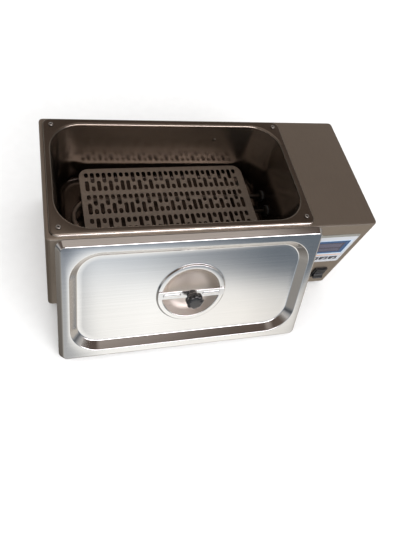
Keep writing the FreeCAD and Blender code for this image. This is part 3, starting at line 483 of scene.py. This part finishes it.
MATS = {
    "case_steel": steel("case_steel", (0.52, 0.46, 0.395), 0.36, grain=(700, 60, 60)),
    "base_steel": steel("base_steel", (0.60, 0.60, 0.60), 0.42),
    # Painted shade on the screw heads: nearly black up their sides, full colour only on top of
    # the dome.
    "screw_steel": steel("screw_steel", (0.78, 0.75, 0.72), 0.22, grain=EVEN_GRAIN,
                         painted_shades=("Z", 168.0, 172.0, [(0.40, 0.45), (0.46, 0.04), (0.72, 0.06),
                                                     (0.86, 1.0)])),
    "foot_rubber": plastic("foot_rubber", (0.02, 0.02, 0.02), 0.75),
    "pan_steel": pan_steel(),
    "seal_rubber": plastic("seal_rubber", (0.03, 0.03, 0.03), 0.7),
    "rack_steel": steel("rack_steel", (0.31, 0.265, 0.225), 0.42, grain=(30, 400, 400),
                        metallic=0.85),
    # Painted shade on the heater tube: its colour darkens towards the right-hand end of the pan.
    "heater_steel": steel("heater_steel", (0.24, 0.20, 0.17), 0.45, grain=(40, 300, 300),
                          painted_shades=("X", 40.0, 100.0, [(0.0, 1.0), (0.9, 0.25)])),
    "terminal_brass": steel("terminal_brass", (0.80, 0.62, 0.30), 0.25, grain=(200, 200, 200)),
    # Nearly black steel for the wall fittings: painted shade standing for the dark right end of
    # the pan.
    "fitting_steel": steel("fitting_steel", (0.055, 0.048, 0.042), 0.50, grain=EVEN_GRAIN),
    "cutout_ceramic": plastic("cutout_ceramic", (0.75, 0.72, 0.66), 0.6),
    "rivet_steel": steel("rivet_steel", (0.30, 0.27, 0.25), 0.20, grain=EVEN_GRAIN),
    "insulation": plastic("insulation", (0.62, 0.58, 0.46), 0.95, grain=350.0, bump=0.6),
    "label_film": label_film(),
    "display_glass": display_glass(),
    "module_plastic": plastic("module_plastic", (0.03, 0.03, 0.035), 0.5),
    "board_green": plastic("board_green", (0.02, 0.12, 0.06), 0.4),
    "key_plastic": key_print(),
    "switch_plastic": plastic("switch_plastic", (0.012, 0.012, 0.013), 0.42),
    "rocker_plastic": rocker_black(),
    "inlet_plastic": plastic("inlet_plastic", (0.015, 0.015, 0.015), 0.45),
    "transformer_iron": plastic("transformer_iron", (0.08, 0.08, 0.085), 0.6, metallic=0.6),
    "relay_plastic": plastic("relay_plastic", (0.65, 0.32, 0.06), 0.4),
    "lid_steel": lid_steel(),
    "strap_steel": steel("strap_steel", (0.90, 0.90, 0.90), 0.20, grain=(8, 400, 400)),
    "knob_plastic": plastic("knob_plastic", (0.012, 0.012, 0.013), 0.16, coat=0.5, bump=0.01),
}

SLOT_OF = {s["node"]: s["material_slot"] for s in frame["record"]["subparts"]}
for node_name, node in NODES.items():
    node.data.materials.clear()
    node.data.materials.append(MATS[SLOT_OF[node_name]])


# Softened edges on the carried-over nodes

BEVEL = {"case_shell": 0.35, "base_plate": 0.3, "rubber_feet": 0.8, "control_label": 0.12,
         "display_window": 0.25, "key_1": 0.3, "key_2": 0.3, "key_3": 0.3, "key_4": 0.3,
         "switch_housing": 0.4, "switch_rocker": 0.5, "inlet_socket": 0.5, "inlet_pins": 0.3,
         "inlet_screws": 0.3, "base_screws": 0.3, "wall_fittings": 0.3, "temperature_probe": 0.2,
         "rack_legs": 0.2, "cutout_rivet": 0.25, "knob_screw": 0.3}
BEVEL_FROM = 25.0

for node_name, width in BEVEL.items():
    soft_edges = NODES[node_name].modifiers.new("soft_edges", "BEVEL")
    soft_edges.width = width * MM
    soft_edges.segments = 3
    soft_edges.limit_method = "ANGLE"
    soft_edges.angle_limit = math.radians(BEVEL_FROM)
    soft_edges.use_clamp_overlap = True


# Mesh helpers, in millimetres

def finish_mesh(name, mesh, node, slot_name, sharp=32.0, place=None):
    """Scale to metres, move to the frame's place, shade and dress one replacing piece."""
    if place is not None:
        mesh.transform(place)
    mesh.transform(Matrix.Translation((0, SHIFT_Y, 0)))
    mesh.transform(Matrix.Scale(MM, 4))
    bm = bmesh.new()
    bm.from_mesh(mesh)
    bmesh.ops.recalc_face_normals(bm, faces=bm.faces)
    for face in bm.faces:
        face.smooth = True
    limit = math.radians(sharp)
    for edge in bm.edges:
        if len(edge.link_faces) == 2 and edge.calc_face_angle(0.0) > limit:
            edge.smooth = False
    bm.to_mesh(mesh)
    bm.free()
    made = bpy.data.objects.new(name, mesh)
    bpy.context.scene.collection.objects.link(made)
    made.data.materials.clear()
    made.data.materials.append(MATS[slot_name])
    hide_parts(node)
    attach(made, BODY)


def mesh_of(name, points, faces):
    mesh = bpy.data.meshes.new(name)
    mesh.from_pydata([Vector(p) for p in points], [], faces)
    return mesh


def ring_faces(first, count, ring_count):
    """Four-sided faces between matching outlines that follow each other from a first point."""
    faces = []
    for a in range(ring_count - 1):
        low = first + a * count
        high = low + count
        for i in range(count):
            j = (i + 1) % count
            faces.append((low + i, low + j, high + j, high + i))
    return faces


def ringed(name, rings):
    """Closed mesh through matching outlines, with a flat cap at each end."""
    count = len(rings[0])
    faces = ring_faces(0, count, len(rings))
    faces.append(tuple(range(count))[::-1])
    faces.append(tuple((len(rings) - 1) * count + i for i in range(count)))
    return mesh_of(name, [p for ring in rings for p in ring], faces)


def sheet_mesh(name, upper, lower):
    """Sheet between two runs of rings, each closed by a disc and joined along the outer edge."""
    count = len(upper[0])
    other = len(upper) * count
    faces = []
    for first, rings in ((0, upper), (other, lower)):
        faces.extend(ring_faces(first, count, len(rings)))
        faces.append(tuple(first + (len(rings) - 1) * count + i for i in range(count)))
    for i in range(count):
        j = (i + 1) % count
        faces.append((i, j, other + j, other + i))
    return mesh_of(name, [p for ring in upper + lower for p in ring], faces)


def joined(name, meshes):
    bm = bmesh.new()
    for mesh in meshes:
        bm.from_mesh(mesh)
        bpy.data.meshes.remove(mesh)
    out = bpy.data.meshes.new(name)
    bm.to_mesh(out)
    bm.free()
    return out


def round_outline(radius, sides, z, centre=(0, 0)):
    x, y = centre
    return [(x + radius * math.cos(2 * math.pi * i / sides),
             y + radius * math.sin(2 * math.pi * i / sides), z) for i in range(sides)]


def rounded(plan, z, steps=14, grow=0.0):
    """Rounded rectangle with smooth corners, evenly numbered round its middle."""
    length, depth, radius = plan
    half_x = length / 2 - radius
    half_y = depth / 2 - radius
    r = radius + grow
    ring = []
    for sx, sy, start in ((1, -1, 270), (1, 1, 0), (-1, 1, 90), (-1, -1, 180)):
        for i in range(steps + 1):
            angle = math.radians(start + 90 * i / steps)
            ring.append((sx * half_x + r * math.cos(angle), sy * half_y + r * math.sin(angle), z))
    return ring


def circle(radius, z, steps=14):
    """Round outline with the same numbering as a rounded rectangle."""
    ring = []
    for start in (270, 0, 90, 180):
        for i in range(steps + 1):
            angle = math.radians(start + 90 * (i + 0.5) / (steps + 1))
            ring.append((radius * math.cos(angle), radius * math.sin(angle), z))
    return ring


def vec(*pairs):
    return [Vector(p) for p in pairs]


def moved(points, distance):
    """Parallel copy of a run of lines in (reach, height), moved to the left."""
    runs = []
    for a, b in zip(points, points[1:]):
        along = (b - a).normalized()
        side = Vector((-along.y, along.x)) * distance
        runs.append((a + side, b - a))
    out = [runs[0][0]]
    for (a, first), (c, second) in zip(runs, runs[1:]):
        cross = first.x * second.y - first.y * second.x
        out.append(a + first * (((c.x - a.x) * second.y - (c.y - a.y) * second.x) / cross))
    out.append(runs[-1][0] + runs[-1][1])
    return out


def soft(points, radii, flats):
    """Round the inner corners of a run of lines."""
    path = [points[0]]
    for before, corner, after, radius in zip(points, points[1:], points[2:], radii):
        a = (before - corner).normalized()
        b = (after - corner).normalized()
        half = a.angle(b) / 2
        centre = corner + (a + b).normalized() * (radius / math.sin(half))
        start = corner + a * (radius / math.tan(half)) - centre
        end = corner + b * (radius / math.tan(half)) - centre
        turn = math.pi - 2 * half
        for i in range(flats + 1):
            share = i / flats
            bend = start * math.sin((1 - share) * turn) + end * math.sin(share * turn)
            path.append(centre + bend / math.sin(turn))
    path.append(points[-1])
    return path


def flat_part(name, outlines, thickness, bevel, lift):
    """Flat sheet with holes and softened edges, from outlines in its own plane."""
    curve = bpy.data.curves.new(name, "CURVE")
    curve.dimensions = "2D"
    curve.fill_mode = "BOTH"
    curve.extrude = thickness / 2 - bevel
    curve.bevel_depth = bevel
    curve.bevel_resolution = 1
    curve.offset = -bevel
    for outline in outlines:
        spline = curve.splines.new("POLY")
        spline.points.add(len(outline) - 1)
        for point, (x, y) in zip(spline.points, outline):
            point.co = (x, y, 0, 1)
        spline.use_cyclic_u = True
    holder = bpy.data.objects.new(name + "_curve", curve)
    bpy.context.scene.collection.objects.link(holder)
    bpy.context.view_layer.update()
    graph = bpy.context.evaluated_depsgraph_get()
    mesh = bpy.data.meshes.new_from_object(holder.evaluated_get(graph))
    bpy.data.objects.remove(holder)
    bpy.data.curves.remove(curve)
    mesh.transform(Matrix.Translation((0, 0, lift)))
    mesh.name = name
    return mesh


def flat_outline(plan, steps):
    return [(x, y) for x, y, z in rounded(plan, 0, steps=steps)]


# Pan, rack and heater

def pan_rings(offset):
    """Rings of one face of the pan sheet, from the flange's foot to the middle of the floor."""
    low = CASE_TOP + FLANGE_LAP
    edge = soft(moved(vec((0, low), (0, PAN_TOP), (-FLANGE_LAND, PAN_TOP)), offset),
                (FLANGE_ROLL - offset,), 6)[:-1]
    edge[0].y = low
    rings = [rounded(FLANGE_PLAN, p.y, grow=p.x) for p in edge]
    foot = -(PAN_TOP - PAN_FLOOR) * math.tan(math.radians(PAN_DRAFT))
    inner = moved(vec((LIP_LAND, PAN_TOP), (0, PAN_TOP), (foot, PAN_FLOOR),
                      (foot - FLOOR_REACH, PAN_FLOOR)), offset)
    for p in soft(inner, (LIP_ROLL - offset, FLOOR_ROLL + offset), 8)[1:]:
        rings.append(rounded(OPENING_PLAN, p.y, grow=p.x))
    return rings


finish_mesh("bath_pan_sheet",
            sheet_mesh("bath_pan_sheet", pan_rings(0.0), pan_rings(PAN_SHEET)),
            "bath_pan", "pan_steel", place=Matrix.Translation((PAN_X, 0, 0)))


def pill(length, x, y_back, steps=8):
    """Slot outline along Y with round ends."""
    r = SLOT_WIDTH / 2
    out = []
    for middle, start in ((y_back - r, 0), (y_back - length + r, 180)):
        for i in range(steps + 1):
            angle = math.radians(start + 180 * i / steps)
            out.append((x + r * math.cos(angle), middle + r * math.sin(angle)))
    return out


def rack():
    """Perforated plate: paired short and long slots, swapped from column to column."""
    outlines = [flat_outline(RACK_PLAN, 8)]
    for column in range(SLOT_COLUMNS):
        x = -RACK_PLAN[0] / 2 + SLOT_FIRST_X + column * SLOT_PITCH
        shifts = sum(1 for first in SLOT_SHIFTED_COLUMNS if column >= first)
        pair = (SLOT_SHORT, SLOT_LONG)
        first, second = pair if (column + shifts) % 2 == 0 else pair[::-1]
        for band in range(SLOT_BANDS):
            y = RACK_PLAN[1] / 2 - SLOT_FIRST_Y - band * SLOT_BAND_PITCH
            outlines.append(pill(first, x, y))
            outlines.append(pill(second, x, y - first - SLOT_BRIDGE))
    return flat_part("rack_sheet", outlines, RACK_SHEET, 0.15, RACK_LEVEL)


finish_mesh("rack_sheet", rack(), "rack_plate", "rack_steel", sharp=50.0,
            place=Matrix.Translation((PAN_X + RACK_PLACE[0], RACK_PLACE[1], 0))
            @ Matrix.Rotation(math.radians(RACK_TURN), 4, "Z"))


def tube(sides=28, bend_steps=32):
    """Round tube along the two legs and the bend of the heater."""
    front, back = (HEATER_MIDDLE_Y + side * HEATER_BEND_RADIUS for side in (-1, 1))
    path = [(Vector((x, front, HEATER_LEVEL)), Vector((-1, 0, 0)))
            for x in (HEATER_END, HEATER_BEND_X)]
    for i in range(1, bend_steps):
        angle = math.radians(-90 - 180 * i / bend_steps)
        path.append((Vector((HEATER_BEND_X + HEATER_BEND_RADIUS * math.cos(angle),
                             HEATER_MIDDLE_Y + HEATER_BEND_RADIUS * math.sin(angle),
                             HEATER_LEVEL)),
                     Vector((math.sin(angle), -math.cos(angle), 0))))
    path += [(Vector((x, back, HEATER_LEVEL)), Vector((1, 0, 0)))
             for x in (HEATER_BEND_X, HEATER_END)]
    rings = []
    for centre, along in path:
        side = Vector((-along.y, along.x, 0))
        ring = []
        for i in range(sides):
            angle = 2 * math.pi * i / sides
            ring.append(centre + side * (HEATER_RADIUS * math.cos(angle))
                        + Vector((0, 0, HEATER_RADIUS * math.sin(angle))))
        rings.append(ring)
    return ringed("heater_element", rings)


finish_mesh("heater_element", tube(), "heater_tube", "heater_steel",
            place=Matrix.Translation((PAN_X, 0, 0)))


# Lid, strap and knob, drawn lying flat and leaned into place

LEAN = math.radians(90 - LID_TILT)
LID_PLACE = (Matrix.Translation((LID_X,
                                 CASE_FRONT - LID_GAP - LID_HALF_DEPTH * math.cos(LEAN),
                                 LID_HALF_DEPTH * math.sin(LEAN)))
             @ Matrix.Rotation(LEAN, 4, "X"))


def lid_rings(offset):
    """Rings of one face of the lid sheet, from the rim to the middle of the dish."""
    border = soft(moved(vec((0, 0), (-LID_FLARE, LID_HEIGHT), (-LID_BORDER, LID_HEIGHT)), offset),
                  (LID_RIM_ROLL - offset,), 6)[:-1]
    border[0].y = LID_FOOT
    rings = [rounded(LID_RIM_PLAN, p.y, grow=p.x) for p in border]
    inner = moved(vec((RECESS_LAND, LID_HEIGHT), (0, LID_HEIGHT), (-RECESS_SLOPE, PANEL),
                      (-RECESS_SLOPE - RECESS_FLOOR_REACH, PANEL)), offset)
    upper_roll, lower_roll = RECESS_ROLLS
    for p in soft(inner, (upper_roll - offset, lower_roll + offset), 6)[1:]:
        rings.append(rounded(RECESS_PLAN, p.y, grow=p.x))
    floor_roll, ring_roll, *outer_rolls = DISH_ROLLS
    turned = soft(moved(vec(*DISH_PROFILE), -offset),
                  (floor_roll + offset, ring_roll - offset * 0.9, *outer_rolls), 8)
    for p in turned[:0:-1]:
        rings.append(circle(p.x, p.y + PANEL))
    return rings


finish_mesh("lid_sheet", sheet_mesh("lid_sheet", lid_rings(0.0), lid_rings(LID_SHEET)),
            "lid_shell", "lid_steel", place=LID_PLACE)


def strap():
    """Flat strap with softened edges and a pressed rib on each half."""
    parts = [flat_part("strap_bar", [flat_outline(STRAP_PLAN, 6)], STRAP_SHEET, 0.25,
                       STRAP_LEVEL + STRAP_SHEET / 2)]
    length, width, radius = RIB_PLAN
    for side in (-1, 1):
        rings = []
        for share, rise in RIB_STEPS:
            shrink = radius * (1 - share)
            plan = (length - 2 * shrink, width - 2 * shrink, max(0.3, radius - shrink))
            ring = rounded(plan, STRAP_LEVEL + STRAP_SHEET + rise, steps=8)
            rings.append([(x + side * RIB_X, y, z) for x, y, z in ring])
        parts.append(ringed("rib", rings))
    return joined("strap_pressed", parts)


finish_mesh("strap_pressed", strap(), "lid_strap", "strap_steel", sharp=40.0, place=LID_PLACE)


def knob():
    """Fluted knob with a soft crown and a waisted neck."""
    base = STRAP_LEVEL + STRAP_SHEET
    # Share of the radius, height and share of the flute depth
    profile = [(0.60, 0.0, 0), (0.60, 0.5, 0), (0.52, 2.0, 0), (0.475, 4.2, 0), (0.50, 5.4, 0),
               (0.62, 6.6, 0.2), (0.80, 7.6, 0.6), (0.93, 8.6, 0.9), (0.985, 9.8, 1.0),
               (1.0, 11.5, 1.0), (1.0, 14.0, 1.0), (0.985, 15.4, 1.0), (0.94, 16.5, 0.95),
               (0.86, 17.3, 0.8), (0.72, 17.8, 0.5), (0.50, 17.97, 0.2), (0.2, 18.0, 0.0)]
    rings = []
    for share, z, lobes in profile:
        ring = []
        for i in range(KNOB_SIDES):
            angle = 2 * math.pi * i / KNOB_SIDES
            dip = KNOB_FLUTE_DEPTH * lobes * (0.5 - 0.5 * math.cos(KNOB_FLUTES * angle)) ** 1.4
            radius = KNOB_RADIUS * share - dip
            ring.append((radius * math.cos(angle), radius * math.sin(angle), base + z))
        rings.append(ring)
    return ringed("knob_moulded", rings)


finish_mesh("knob_moulded", knob(), "lid_knob", "knob_plastic", sharp=60.0, place=LID_PLACE)


# Flange screws

def cross_head(sides=40, steps=14):
    """Domed screw head with a cross recess, its seat at Z = 0."""
    radius = SCREW_HEAD_RADIUS
    height = SCREW_HEAD_HEIGHT
    rings = [round_outline(radius, sides, z) for z in (0.0, height * 0.45)]
    for k in range(steps, 0, -1):
        share = k / (steps + 1)
        ring = []
        for i in range(sides):
            angle = 2 * math.pi * i / sides
            x = radius * share * math.cos(angle)
            y = radius * share * math.sin(angle)
            z = height * (0.45 + 0.55 * math.sqrt(1 - share ** 2))
            if min(abs(x), abs(y)) < radius * 0.17 and share < 0.62:
                z -= height * 0.55
            ring.append((x, y, z))
        rings.append(ring)
    return ringed("head", rings)


def flange_heads():
    """Four screws, each with its cross turned to another angle."""
    parts = []
    for k, (sx, sy) in enumerate(((-1, -1), (-1, 1), (1, -1), (1, 1))):
        x, y = PAN_X + sx * SCREW_X, sy * SCREW_Y
        head = cross_head()
        head.transform(Matrix.Translation((x, y, PAN_TOP))
                       @ Matrix.Rotation(math.radians(20 + 33 * k), 4, "Z"))
        parts.append(head)
        parts.append(ringed("shank", [round_outline(SCREW_SHANK_RADIUS, 16, z, (x, y))
                                      for z in (SCREW_SHANK_FOOT, PAN_TOP)]))
    return joined("flange_screw_heads", parts)


finish_mesh("flange_screw_heads", flange_heads(), "flange_screws", "screw_steel", sharp=40.0)


# Floor and light

def quad(name, corners, mat):
    mesh = bpy.data.meshes.new(name)
    mesh.from_pydata([Vector(c) for c in corners], [], [(0, 1, 2, 3)])
    made = bpy.data.objects.new(name, mesh)
    bpy.context.scene.collection.objects.link(made)
    made.data.materials.append(mat)


def floor_material():
    """Pale floor that keeps soft shadows; mirrors and glass see the world instead."""
    g = Surface("floor_pale")
    speck = g.noise(60.0, detail=2.0)
    base = g.ramp(speck, [(0.3, grey(0.93)), (0.7, grey(0.95))])
    g.link(base, "Color", g.bsdf, "Base Color")
    g.set(Roughness=0.9, Specular_IOR_Level=0.0)
    path = g.node("ShaderNodeLightPath")
    clear = g.node("ShaderNodeBsdfTransparent")
    mix = g.node("ShaderNodeMixShader")
    g.link(path, "Is Glossy Ray", mix, 0)
    g.link(g.bsdf, 0, mix, 1)
    g.link(clear, 0, mix, 2)
    g.link(mix, 0, g.out, 0)
    return g.mat


FLOOR_HALF = 6
FLOOR_Z = -0.0005
quad("floor", [(x * FLOOR_HALF, y * FLOOR_HALF, FLOOR_Z)
               for x, y in ((-1, -1), (1, -1), (1, 1), (-1, 1))], floor_material())

# What the metal mirrors, by the height of the direction it looks in and then by its X
SKY = [(0.00, (0.36, 0.325, 0.295)), (0.08, (0.42, 0.38, 0.34)), (0.17, (0.80, 0.75, 0.70)),
       (0.25, (1.18, 1.15, 1.10)), (0.350, (1.20, 1.18, 1.14)), (0.372, (1.10, 1.10, 1.09)),
       (0.400, (0.76, 0.80, 0.85)), (0.425, (0.58, 0.63, 0.69)), (0.46, (0.30, 0.33, 0.38)),
       (0.57, (0.40, 0.39, 0.38)), (0.64, (0.52, 0.49, 0.47)), (0.71, (0.24, 0.215, 0.195)),
       (0.79, (0.120, 0.091, 0.076)), (0.915, (0.106, 0.078, 0.064)), (0.945, (0.46, 0.40, 0.36)),
       (1.00, (0.46, 0.40, 0.36))]
SIDE = [(0.10, (0.22, 0.21, 0.20)), (0.22, (0.26, 0.25, 0.24)), (0.42, (0.42, 0.42, 0.42)),
        (0.505, (0.40, 0.41, 0.43)), (0.522, (0.46, 0.47, 0.49)), (0.548, (0.95, 0.95, 0.95)),
        (0.60, (1, 1, 1)), (0.685, (0.92, 0.90, 0.88)), (0.745, (0.62, 0.61, 0.60)),
        (0.80, (0.42, 0.40, 0.38)), (0.88, (0.46, 0.43, 0.40))]
SIDE_FADE = (0.12, -0.04)

# Two soft-edged fields in it: each edge is an axis and the values where it starts and is full
SHADE_EDGES = (("Z", -0.268, -0.222), ("Z", 0.10, 0.0), ("X", 0.10, 0.44), ("Y", -0.60, -0.75))
SHADE_COLOUR = (0.155, 0.18, 0.21)
PANE_EDGES = (("Z", 0.26, 0.36), ("Z", 0.62, 0.54), ("Y", -0.50, -0.62), ("X", -0.04, 0.04))
PANE_COLOUR = (6.2, 5.8, 6.0)


def world():
    """White to the camera; to the metal a soft room, dark overhead and bright below the front."""
    made = bpy.data.worlds.new("studio")
    bpy.context.scene.world = made
    made.use_nodes = True
    g = Nodes(made.node_tree)
    out = g.node("ShaderNodeOutputWorld")
    tex = g.node("ShaderNodeTexCoord")
    ray = g.node("ShaderNodeSeparateXYZ")
    g.link(tex, "Generated", ray, 0)

    def field(edges):
        masks = [g.share(ray, low, high, out=axis) for axis, low, high in edges]
        return g.join("MULTIPLY", g.join("MULTIPLY", *masks[:2]),
                      g.join("MULTIPLY", *masks[2:]))

    sky = g.ramp(g.share(ray, -1.0, 1.0, out="Z"), SKY, out="Result")
    side = g.ramp(g.share(ray, -1.0, 1.0, out="X"), SIDE, out="Result")
    below = g.node("ShaderNodeMix", data_type="RGBA")
    g.link(g.share(ray, *SIDE_FADE, out="Z"), "Result", below, "Factor")
    below.inputs["A"].default_value = (1, 1, 1, 1)
    g.link(side, "Color", below, "B")
    room = g.multiply(sky, "Color", below, "Result")
    shaded = g.cover(field(SHADE_EDGES), room, "Result", SHADE_COLOUR)
    lit = g.cover(field(PANE_EDGES), shaded, "Result", PANE_COLOUR)

    mirrored = g.node("ShaderNodeBackground")
    g.link(lit, "Result", mirrored, "Color")
    fill = g.node("ShaderNodeBackground")
    fill.inputs["Color"].default_value = (1.0, 0.995, 0.99, 1)
    white = g.node("ShaderNodeBackground")
    white.inputs["Color"].default_value = (1, 1, 1, 1)
    path = g.node("ShaderNodeLightPath")
    glossy = g.node("ShaderNodeMixShader")
    g.link(path, "Is Glossy Ray", glossy, 0)
    g.link(fill, 0, glossy, 1)
    g.link(mirrored, 0, glossy, 2)
    seen = g.node("ShaderNodeMixShader")
    g.link(path, "Is Camera Ray", seen, 0)
    g.link(glossy, 0, seen, 1)
    g.link(white, 0, seen, 2)
    g.link(seen, 0, out, 0)


world()

LAMP_TARGET = (0, 0, 0.1)


def lamp(name, place, size, power):
    """Area lamp aimed at the part; the metal doesn't mirror it."""
    data = bpy.data.lights.new(name, "AREA")
    data.shape = "RECTANGLE"
    data.size, data.size_y = size
    data.energy = power
    made = bpy.data.objects.new(name, data)
    bpy.context.scene.collection.objects.link(made)
    made.location = Vector(place)
    made.rotation_mode = "QUATERNION"
    aim = Vector(LAMP_TARGET) - Vector(place)
    made.rotation_quaternion = aim.to_track_quat("-Z", "Y")
    made.visible_glossy = False


lamp("front_lamp", (0.5, -1.6, 1.2), (1.6, 0.9), 22.0)
lamp("side_lamp", (-1.8, 0.4, 0.8), (1.0, 0.8), 6.0)


# Camera, fitted to the edges of the case, the pan and the lid

CAMERA_PLACE = (-0.21176, -0.38001 + SHIFT_Y * MM, 0.62908)
CAMERA_FORWARD = (0.2805, 0.5009, -0.8188)
CAMERA_RIGHT = (0.9585, -0.1917, 0.2111)


def camera():
    data = bpy.data.cameras.new("camera")
    data.sensor_fit = "AUTO"
    data.sensor_width = 36.0
    data.lens = 32.593
    data.shift_x = 0.0383
    data.shift_y = -0.0594
    data.clip_start = 0.01
    data.clip_end = 50.0
    made = bpy.data.objects.new("camera", data)
    bpy.context.scene.collection.objects.link(made)
    forward = Vector(CAMERA_FORWARD).normalized()
    right = Vector(CAMERA_RIGHT)
    right = (right - forward * right.dot(forward)).normalized()
    up = right.cross(forward)
    turn = Matrix((right, up, -forward)).transposed().to_4x4()
    made.matrix_world = Matrix.Translation(CAMERA_PLACE) @ turn
    bpy.context.scene.camera = made


camera()
bpy.context.scene.view_settings.view_transform = "Standard"
